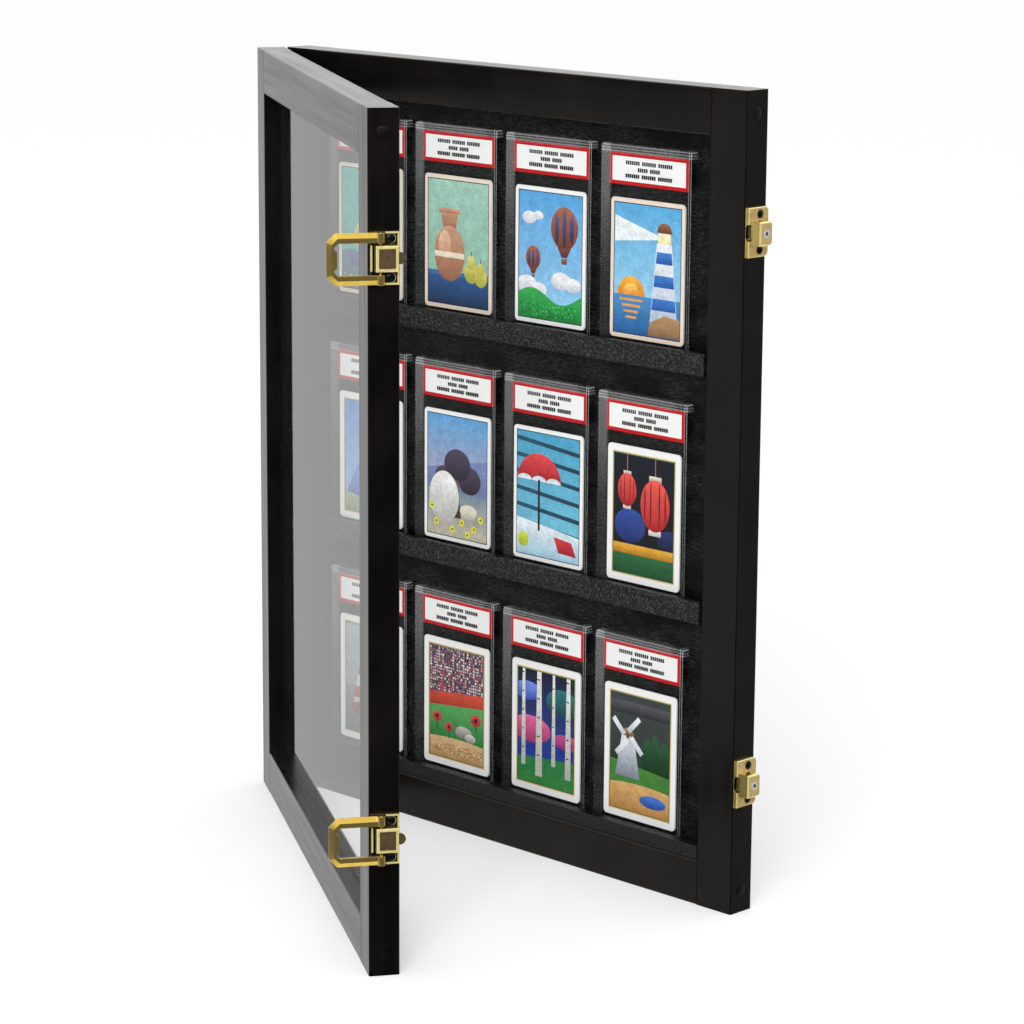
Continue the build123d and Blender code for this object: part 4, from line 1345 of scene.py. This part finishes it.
@dataclass
class ScrewShape:
    """A cross-head screw, drawn with its head's seat at the origin and its shank down -Z."""

    head_radius: float = 2.95 * MM
    dome: float = 0.85 * MM
    edge: float = 0.12 * MM
    cone: float = 1.5 * MM
    shank_radius: float = 1.3 * MM
    length: float = 11.8 * MM
    cross_reach: float = 1.75 * MM
    cross_width: float = 0.75 * MM
    cross_depth: float = 1.1 * MM
    cross_taper: float = 0.55
    cross_flare: float = 1.05
    cross_straight: float = 0.8
    point_width: float = 0.15
    point_length: float = 2.2
    dome_rings: tuple[float, ...] = (0.92, 0.78, 0.55, 0.28, 0.06)
    steps: int = 28

    def mesh(self, name: str) -> bpy.types.Mesh:
        """Turn the screw and press the cross into its head.

        Args:
            name: the mesh's name.

        Returns:
            The screw.
        """
        tip = (self.point_width * self.shank_radius, -self.length)
        point = (self.shank_radius, -self.length + self.point_length * self.shank_radius)
        profile = [tip, point, (self.shank_radius, -self.cone)]
        profile += [(self.head_radius, 0.0), (self.head_radius, self.edge)]
        for share in self.dome_rings:
            rise = self.edge + (self.dome - self.edge) * (1 - share * share)
            profile.append((self.head_radius * share, rise))
        draft = add_piece(name + "_draft", finished(turned_solid(profile, self.steps), name))
        half, reach = self.cross_width / 2, self.cross_reach
        arms = [(reach, -half), (reach, half), (half, half), (half, reach), (-half, reach), (-half, half)]
        arms += [(-x, -y) for x, y in arms]
        lower = self.dome - self.cross_depth
        full = lower + self.cross_depth * self.cross_straight
        cutter = bmesh.new()
        levels = ((self.cross_taper, lower), (1.0, full), (self.cross_flare, self.dome + half))
        stack_rings(cutter, [[Vector((x * k, y * k, z)) for x, y in arms] for k, z in levels])
        tool = add_piece(name + "_cross", finished(cutter, name + "_cross"))
        cut = draft.modifiers.new("cross", "BOOLEAN")
        cut.object = tool
        cut.operation = "DIFFERENCE"
        cut.solver = "EXACT"
        mesh = evaluated(draft, name)
        bpy.data.objects.remove(tool)
        mesh.shade_smooth()
        mesh.set_sharp_from_angle(angle=math.radians(30))
        return mesh


@dataclass
class Fasteners:
    """The visible screws and wooden plugs of the whole case."""

    setting: SettingOut
    plug_radius: float = 4.62 * MM
    plug_depth: float = 5.8 * MM
    plug_edge: float = 0.35 * MM
    plug_sink: float = 0.02 * MM
    plug_steps: int = 40
    flush_rise: float = 0.1 * MM
    panel_rise: float = 1.8 * MM
    small: ScrewShape = field(default_factory=ScrewShape)
    flush: ScrewShape = field(
        default_factory=lambda: ScrewShape(dome=0.05 * MM, edge=0.02 * MM, cross_depth=0.9 * MM))
    panel: ScrewShape = field(default_factory=lambda: ScrewShape(
        dome=1.75 * MM, edge=0.7 * MM, cone=0.05 * MM, shank_radius=1.4 * MM, length=13.9 * MM,
        cross_depth=1.3 * MM))

    def plug_mesh(self) -> bpy.types.Mesh:
        """Turn one wooden plug, flush at the origin.

        Returns:
            The plug's mesh.
        """
        radius, edge, sink = self.plug_radius, self.plug_edge, self.plug_sink
        profile = [(radius, -self.plug_depth), (radius, -edge), (radius - edge * 0.3, -edge * 0.3)]
        profile += [(radius - edge, -sink), (0.1 * MM, -sink)]
        return finished(turned_solid(profile, self.plug_steps), "plug")

    def build_plugs(self, lacquer: bpy.types.Material) -> None:
        """Set the plugs out in the frames' sides.

        Args:
            lacquer: their finish.
        """
        right_door = HINGE.turned(RIGHT)
        for body, side in ((Body.CABINET.value, RIGHT), (Body.DOOR.value, right_door)):
            node = f"{body}_screw_plugs"
            solids = solids_of(node)
            centre = sum((middle_of(s) for s in solids), Vector()) / len(solids)
            marks = []
            for solid in solids:
                middle = middle_of(solid)
                facing = side if (middle - centre).dot(side) > 0 else -side
                marks.append(mark_of(solid, facing))
            piece = self.setting.run(node + "_round", self.plug_mesh(), marks, lacquer, math.tau, 3)
            settle(piece, body, [node])

    def build_screws(self, black: bpy.types.Material, steel: bpy.types.Material) -> None:
        """Set the screws out on the plates and on the back.

        Args:
            black: the finish of the latches' and locks' screws.
            steel: the finish of the back's screws.
        """
        door_right = HINGE.turned(RIGHT)
        door_back = HINGE.turned(BACK)
        groups = (
            ("lock_screws", RIGHT, Body.CABINET, self.small, black, "black_screw", 0.0),
            ("latch_screws", door_right, Body.DOOR, self.small, black, "black_screw", 0.0),
            ("cabinet_hinge_screws", FRONT, Body.CABINET, self.flush, black, "black_screw", self.flush_rise),
            ("door_hinge_screws", door_back, Body.DOOR, self.flush, black, "black_screw", self.flush_rise),
            ("back_panel_screws", BACK, Body.CABINET, self.panel, steel, "steel", self.panel_rise),
            ("shelf_screws", BACK, Body.CABINET, self.panel, steel, "steel", self.panel_rise),
        )
        for seed, (node, facing, body, shape, finish, slot, head) in enumerate(groups, start=5):
            found = [mark_of(solid, facing) for solid in solids_of(node)]
            marks = [(place - facing * head, way) for place, way in found]
            mesh = shape.mesh(node + "_shape")
            piece = self.setting.run(node + "_cross_head", mesh, marks, finish, math.tau / 4, seed)
            settle(piece, body.value, [node])


@dataclass
class CardHolders:
    """The twelve clear holders, each a moulded case with a raised rim and a welded ridge."""

    setting: SettingOut
    corner: float = 3.0 * MM
    steps: int = 5
    rings: tuple[tuple[float, float], ...] = (
        (0.0, 0.9), (0.08, 0.45), (0.45, 0.08), (0.9, 0.0), (2.7, 0.0), (3.1, 0.1), (3.45, 0.5),
        (5.0, 0.5), (5.2, 0.36), (5.8, 0.36), (6.0, 0.5),
    )

    def mesh(self, low: Vector, high: Vector) -> bpy.types.Mesh:
        """Mould one holder round the origin, which is at the middle of its foot and its thickness.

        Args:
            low: the lowest corner of a holder of the frame.
            high: its highest corner.

        Returns:
            The holder, with a UV map that gives its width and height from 0 to 1.
        """
        width, depth, height = high - low
        half = depth / 2
        levels = [(inset * MM, -half + deep * MM) for inset, deep in reversed(self.rings)]
        levels += [(inset, -y) for inset, y in reversed(levels)]
        shape = bmesh.new()
        rings = []
        for inset, y in levels:
            radius = max(self.corner - inset, 0.5 * MM)
            outline = rounded_outline(width - 2 * inset, height - 2 * inset, radius, self.steps)
            rings.append([Vector((x, y, z + height / 2)) for x, z in outline])
        stack_rings(shape, rings)
        spread = shape.loops.layers.uv.new("Holder")
        for face in shape.faces:
            for loop in face.loops:
                loop[spread].uv = (loop.vert.co.x / width + 0.5, loop.vert.co.z / height)
        return finished(shape, "holder", 30)

    def build(self, plastic: bpy.types.Material) -> None:
        """Stand the holders in their seats.

        Args:
            plastic: their finish.
        """
        nodes = sorted(name for name in frame["nodes"] if name.startswith("card_holder_"))
        boxes = [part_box(name) for name in nodes]
        marks = []
        for low, high in boxes:
            middle = (low + high) / 2
            marks.append((Vector((middle.x, middle.y, low.z)), UP))
        piece = self.setting.run("clear_card_holders", self.mesh(*boxes[0]), marks, plastic)
        settle(piece, Body.CABINET.value, nodes)


@dataclass
class PrintedMatter:
    """The cards and their labels, inside the holders."""

    setting: SettingOut
    corner: float = 3.0 * MM
    label_corner: float = 0.3 * MM
    label_border: float = 2.5
    label_rows: tuple[tuple[int, ...], ...] = ((7, 7, 7), (5, 5), (7, 7, 7))
    first_row_drop: float = 5.2
    line_height: float = 2.6
    line_pitch: float = 4.4
    mark_width: float = 1.45
    mark_gap: float = 0.4
    red: str = "C4000A"
    text: str = "060608"

    def build_cards(self, finish: bpy.types.Material) -> None:
        """Print the twelve cards.

        Args:
            finish: their ink and stock.
        """
        press = Press()
        pictures = CardPictures(press).in_order()
        boxes = [box_round(solid) for solid in solids_of("cards")]
        boxes.sort(key=lambda box: (round(box[0].z, 3), box[0].x))
        for (low, high), picture in zip(boxes, pictures):
            press.stock(low, high, self.corner, WHITE, Press.CANVAS)
            picture()
        piece = add_piece("printed_cards", press.mesh("printed_cards"))
        piece.data.materials.append(finish)
        settle(piece, Body.CABINET.value, ["cards"])

    def print_marks(self, press: Press, start: float, top: float, row: int, words: Sequence[int]) -> None:
        """Print a row of plain marks where a label would be lettered.

        Args:
            press: what prints the label.
            start: the row's left end.
            top: the first row's height.
            row: which row it is, from the top.
            words: how many marks each group has.
        """
        x = start
        for count in words:
            for _ in range(count):
                press.box(x, top - row * self.line_pitch, self.mark_width, self.line_height, self.text)
                x += self.mark_width + self.mark_gap
            x += self.mark_width + self.mark_gap

    def label_mesh(self, low: Vector, high: Vector) -> bpy.types.Mesh:
        """Print one label round the origin, with plain marks where it would be lettered.

        Args:
            low: the lowest corner of a label of the frame.
            high: its highest corner.

        Returns:
            The label.
        """
        middle = (low + high) / 2
        press = Press()
        size = high - low
        width, height = size.x / MM, size.z / MM
        press.stock(low - middle, high - middle, self.label_corner, self.red, (width, height))
        edge = self.label_border
        press.box(edge, edge, width - 2 * edge, height - 2 * edge, WHITE)
        step = self.mark_width + self.mark_gap
        for row, words in enumerate(self.label_rows):
            length = (sum(words) + len(words) - 1) * step - self.mark_gap
            self.print_marks(press, (width - length) / 2, height - edge - self.first_row_drop, row, words)
        return press.mesh("label")

    def build_labels(self, finish: bpy.types.Material) -> None:
        """Set the labels out over the cards.

        Args:
            finish: their ink and stock.
        """
        solids = solids_of("card_labels")
        marks = [(middle_of(solid), UP) for solid in solids]
        piece = self.setting.run("printed_labels", self.label_mesh(*box_round(solids[0])), marks, finish)
        settle(piece, Body.CABINET.value, ["card_labels"])


class Tone(IntEnum):
    """The brasswork's finishes, in the order that its pieces carry them: plated brass, then five that paint
    light or shade.
    """

    PLATED = 0
    # From the second finish on, each paints light or shade: a highlight, brown shade, black shadow, a golden
    # highlight on slopes and a lit face.
    HIGHLIGHT = 1
    BROWN = 2
    BLACK = 3
    SLOPE_HIGHLIGHT = 4
    LIT_FACE = 5


@dataclass
class Brasswork:
    """The loop latches on the door and the lock cases on the cabinet."""

    finishes: list[bpy.types.Material]
    edge: float = 0.25 * MM
    fine_edge: float = 0.20 * MM
    dish: tuple[float, float] = (0.3 * MM, 0.9 * MM)
    plate: float = 1.6 * MM
    tongue: float = 3.5 * MM
    case_plate: float = 3.2 * MM
    case_lip: float = 0.4 * MM
    slot_wall: float = 0.3 * MM
    slot_end: float = 3.0 * MM
    near: float = 0.1 * MM
    outside: float = 0.3 * MM
    slope: tuple[float, float] = (0.12, 0.97)
    leaning: float = 0.30
    squarely: float = 0.99
    slot: Vector = field(default_factory=lambda: Vector((6.0 * MM, 15.0 * MM, 7.0 * MM)))

    def build(self) -> None:
        """Round the brass pieces' edges and finish them."""
        for level in ("lower", "upper"):
            self.colour_base(self.finish_piece(f"latch_base_{level}", Body.DOOR.value, self.fine_edge))
            self.colour_loop(self.finish_piece(f"latch_loop_{level}", f"latch_loop_{level}", self.edge))
            self.colour_case(self.finish_piece(f"lock_case_{level}", Body.CABINET.value, self.edge))

    def finish_piece(self, node: str, body: str, width: float) -> bpy.types.Object:
        """Make the rounded copy of one node, with every finish at hand.

        Args:
            node: the node.
            body: the body that it rides on.
            width: how wide the rounding is.

        Returns:
            The new piece.
        """
        piece = softened(node, node + "_rounded", width)
        piece.data.materials.clear()
        for material in self.finishes:
            piece.data.materials.append(material)
        return settle(piece, body, [node])

    def colour_base(self, base: bpy.types.Object) -> None:
        """Paint a latch base's highlights on its borders, brown shade in its dish and on its tongue, and
        black shadow in its tray.

        Args:
            base: the latch base.
        """
        outward, inward = HINGE.turned(RIGHT), HINGE.turned(BACK)
        foot = min(vertex.co.dot(outward) for vertex in base.data.vertices)
        top = max(vertex.co.dot(outward) for vertex in base.data.vertices)
        inner = max(vertex.co.dot(inward) for vertex in base.data.vertices)
        for face in base.data.polygons:
            height, reach = face.center.dot(outward), inner - face.center.dot(inward)
            faces_out = face.normal.dot(outward)
            # The tongue and the dish get brown painted shade.
            if reach < self.tongue:
                face.material_index = Tone.BROWN
            elif faces_out > self.squarely and self.dish[0] < top - height < self.dish[1]:
                face.material_index = Tone.BROWN
            # The tray's floor gets black painted shadow.
            elif faces_out > self.squarely and abs(height - foot - self.plate) < self.near:
                face.material_index = Tone.BLACK
            # Faces that lean outward get a painted highlight.
            elif faces_out > self.leaning:
                face.material_index = Tone.HIGHLIGHT

    def colour_loop(self, loop: bpy.types.Object) -> None:
        """Paint golden highlights on a loop's slopes round its outside.

        Args:
            loop: the latch's loop.
        """
        outward, (flat, square) = HINGE.turned(RIGHT), self.slope
        corners = [vertex.co for vertex in loop.data.vertices]
        middle = sum(corners, Vector()) / len(corners)
        for face in loop.data.polygons:
            lean = face.normal.dot(outward)
            sideways = face.normal - outward * lean
            # Outer slopes get a golden painted highlight; the rest stays plated brass.
            if flat < abs(lean) < square and sideways.z * (face.center.z - middle.z) > self.outside:
                face.material_index = Tone.SLOPE_HIGHLIGHT

    def colour_case(self, case: bpy.types.Object) -> None:
        """Paint highlights on a lock case's outer faces and black shadow into the slot that a latch's tongue
        enters.

        Args:
            case: the lock case.
        """
        low, high = box_round([vertex.co for vertex in case.data.vertices])
        middle = Vector((low.x, low.y, (low.z + high.z) / 2))
        for face in case.data.polygons:
            place, facing = face.center - middle, face.normal
            within = self.slot_wall < place.y < self.slot.y and abs(place.z) < self.slot.z
            deep = facing.y < -0.5 and place.y > self.slot_end
            inward = facing.x < -0.3 or facing.y > 0.5 or facing.z * place.z < -self.slot_wall or deep
            # The slot's inside gets black painted shadow.
            if within and place.x < self.slot.x and (inward or place.x < self.case_plate - self.case_lip):
                face.material_index = Tone.BLACK
            # Flat outer faces get painted lit faces, and other outward faces a painted highlight.
            elif facing.x > self.slope[1]:
                face.material_index = Tone.LIT_FACE
            elif facing.x > 0.2:
                face.material_index = Tone.HIGHLIGHT


# ---- The studio ----
@dataclass
class Studio:
    """A pale floor, soft even light and the camera."""

    camera_place: Vector = field(default_factory=lambda: Vector((1.7052, -1.7192, 0.7695)))
    yaw: float = -0.7808
    pitch: float = -0.2144
    roll: float = 0.0070
    lens: float = 123.2
    sensor: float = 36.0
    clip: tuple[float, float] = (0.05, 60.0)
    floor_size: float = 30.0
    lamp_place: Vector = field(default_factory=lambda: Vector((1.6, -2.2, 1.9)))
    lamp_size: float = 1.4
    lamp_power: float = 40.0
    daylight: float = 0.85
    gloss_level: float = 0.34
    gloss_least: float = 0.01
    gloss_right: float = -0.50
    gloss_back: float = 0.26
    gloss_above: float = 2.6
    gloss_high: float = 0.25
    gloss_low: float = -0.40
    floor_tone: Colour = (0.8, 0.8, 0.8, 1.0)
    floor_lift: float = 0.30
    middle_of_case: Vector = field(default_factory=lambda: Vector((0.0, 0.0, 0.28)))

    def build_camera(self) -> None:
        """Stand the camera in front of the case, to the right of it."""
        forward = Vector((
            math.sin(self.yaw) * math.cos(self.pitch),
            math.cos(self.yaw) * math.cos(self.pitch),
            math.sin(self.pitch),
        ))
        level = Vector((math.cos(self.yaw), -math.sin(self.yaw), 0.0))
        upright = level.cross(forward)
        right = level * math.cos(self.roll) + upright * math.sin(self.roll)
        up = upright * math.cos(self.roll) - level * math.sin(self.roll)
        camera = bpy.data.objects.new("camera", bpy.data.cameras.new("camera"))
        camera.data.lens = self.lens
        camera.data.sensor_width = self.sensor
        camera.data.clip_start, camera.data.clip_end = self.clip
        turn = Matrix((right, up, -forward)).transposed()
        camera.matrix_world = Matrix.Translation(self.camera_place) @ turn.to_4x4()
        bpy.context.scene.collection.objects.link(camera)
        bpy.context.scene.camera = camera

    def build_floor(self) -> None:
        """Lay a pale floor that shows white and keeps the case's shadow."""
        shader = Shader("studio floor")
        rays = shader.add("LightPath")
        matt = shader.add("BsdfDiffuse", {"Color": self.floor_tone}).outputs[0]
        lift = shader.maths("MULTIPLY", rays.outputs["Is Camera Ray"], self.floor_lift)
        glow = shader.add("Emission", {"Color": (1, 1, 1, 1), "Strength": lift}).outputs[0]
        surface = shader.add("AddShader", {0: matt, 1: glow}).outputs[0]
        shape = bmesh.new()
        half = self.floor_size / 2
        corners = [(-half, -half), (half, -half), (half, half), (-half, half)]
        shape.faces.new([shape.verts.new((x, y, 0.0)) for x, y in corners])
        floor = add_piece("floor", finished(shape, "floor"))
        floor.data.materials.append(shader.finish(surface))
        floor.visible_glossy = False

    def build_world(self) -> None:
        """Light the case evenly, with its gloss bright on the left and above and dark on the right."""
        world = bpy.data.worlds.new("studio")
        world.use_nodes = True
        sky = Nodes(world.node_tree)
        maths = sky.maths
        rays = sky.add("LightPath").outputs
        ways = sky.add("SeparateXYZ", {0: sky.add("TexCoord").outputs["Generated"]}).outputs
        side = maths("ADD", maths("MULTIPLY", ways["X"], self.gloss_right), self.gloss_level)
        depth = maths("MULTIPLY", ways["Y"], self.gloss_back)
        level = maths("MAXIMUM", maths("ADD", side, depth), self.gloss_least)
        height = maths("MINIMUM", maths("MAXIMUM", ways["Z"], 0.0), self.gloss_high)
        depression = maths("MAXIMUM", maths("SUBTRACT", self.gloss_low, ways["Z"]), 0.0)
        ends = maths("ADD", maths("MULTIPLY", height, self.gloss_above), depression)
        seen = maths("ADD", level, ends)
        plain = maths("MAXIMUM", rays["Is Camera Ray"], rays["Is Transmission Ray"])
        plain = maths("MAXIMUM", plain, self.daylight)
        mirrored = maths("MULTIPLY", rays["Is Glossy Ray"], seen)
        rest = maths("MULTIPLY", maths("SUBTRACT", 1.0, rays["Is Glossy Ray"]), plain)
        strength = maths("ADD", mirrored, rest)
        light = sky.add("Background", {"Color": (1, 1, 1, 1), "Strength": strength})
        sky.add("OutputWorld", {"Surface": light.outputs[0]})
        bpy.context.scene.world = world

    def build_lamp(self) -> None:
        """Hang the one soft lamp, facing the case."""
        lamp = bpy.data.objects.new("soft_lamp", bpy.data.lights.new("soft_lamp", "AREA"))
        lamp.data.shape = "RECTANGLE"
        lamp.data.size = lamp.data.size_y = self.lamp_size
        lamp.data.energy = self.lamp_power
        lamp.location = self.lamp_place
        facing = self.middle_of_case - self.lamp_place
        lamp.rotation_euler = facing.to_track_quat("-Z", "Y").to_euler()
        bpy.context.scene.collection.objects.link(lamp)

    def build(self) -> None:
        """Set the studio up."""
        bpy.context.scene.view_settings.view_transform = "Standard"
        self.build_camera()
        self.build_floor()
        self.build_world()
        self.build_lamp()


# ---- Putting the case together ----
def dress_frames() -> bpy.types.Material:
    """Lacquer the cabinet's and door's frames, and give back the plugs' finish.

    Returns:
        The plugs' finish.
    """
    upright = Lacquer("frame lacquer, upright grain", Grain.UPRIGHT).material()
    level = Lacquer("frame lacquer, level grain", Grain.LEVEL).material()
    door_level = Lacquer("door lacquer, level grain", Grain.LEVEL, HINGE.angle).material()
    stiles = ["cabinet_stile_left", "cabinet_stile_right", "door_stile_hinge", "door_stile_latch"]
    dress([*stiles, "glazing_bead_hinge", "glazing_bead_latch"], upright)
    dress(["cabinet_rail_bottom", "cabinet_rail_top"], level)
    door_rails = ["door_rail_bottom", "door_rail_top", "glazing_bead_bottom", "glazing_bead_top"]
    dress(door_rails, door_level)
    return upright


def dress_inside() -> None:
    """Paint the shelves, the ledge and the back panel."""
    dress(["shelf_1", "shelf_2"], PebbledLacquer("shelf paint").material())
    # The ledge's second colour is the highlight painted on its pebbles' tops.
    low, high = (0.004, 0.004, 0.0042, 1.0), (0.009, 0.009, 0.0095, 1.0)
    dress(["bottom_ledge"], PebbledLacquer("ledge paint", colour=low, pale=high).material())
    dress(["back_panel"], RippledBoard("pressed board").material())


def main() -> None:
    """Dress the whole case, piece by piece."""
    logging.basicConfig(level=logging.INFO, format="%(name)s: %(message)s")
    Studio().build()
    setting = SettingOut()
    lacquer = dress_frames()
    dress_inside()

    # Beside plated brass: golden, bright and pale are brass with painted highlight, brown is brass in
    # painted shade, and black also paints shadow in trays and slots.
    brass = Metal("brass plating", ink("E2C678"), ink("C8A856"), 0.17, 0.86, 0.02).material()
    golden = Metal("brass plating, painted highlight on slopes", ink("F4D062"), ink("E6BC48"), 0.16, 0.62, 0.02).material()
    bright = Metal("brass with painted highlight", ink("FAEBA4"), ink("F0DC88"), 0.20, 0.40, 0.02).material()
    pale = Metal("brass plating, painted lit faces", ink("E6CC8A"), ink("CDAE64"), 0.24, 0.50, 0.02).material()
    brown = Metal("brass in brown painted shade", ink("6C583E"), ink("584730"), 0.30, 0.4, 0.03).material()
    aged = Metal("darkened brass", ink("24201A"), ink("16130E"), 0.34, 0.6, 0.03).material()
    black = Metal("black oxide", ink("0C0C0E"), ink("1A1A1C"), 0.34, 0.5).material()
    steel = Metal("zinc plating", ink("B9BCC0"), ink("8C9094"), 0.28).material()

    Brasswork([brass, bright, brown, black, golden, pale]).build()
    leaves = [f"{body.value}_hinge_leaf_{level}" for body in Body for level in ("lower", "upper")]
    dress([*leaves, "hinge_pin_lower", "hinge_pin_upper"], aged)
    dress(["latch_pins"], brass)
    dress(["lock_plug_lower", "lock_plug_upper"], KeyedPlug("chrome plating, keyhole in painted shade").material())
    hidden = ["cabinet_frame_screws", "door_frame_screws", "bead_pins", "ledge_brads"]
    dress(hidden, steel)

    fasteners = Fasteners(setting)
    fasteners.build_plugs(lacquer)
    fasteners.build_screws(black, steel)

    dress(["door_pane"], ClearPlastic("acrylic pane", 1.25, 0.03, 0.008).material())
    CardHolders(setting).build(MouldedCase("clear moulded case", 1.25, 0.06, 0.002).material())
    matter = PrintedMatter(setting)
    matter.build_cards(Print("printed card").material())
    matter.build_labels(Print("printed label", 0.4).material())

    bpy.context.view_layer.update()
    log.info("sizes written")


if __name__ == "__main__":
    main()
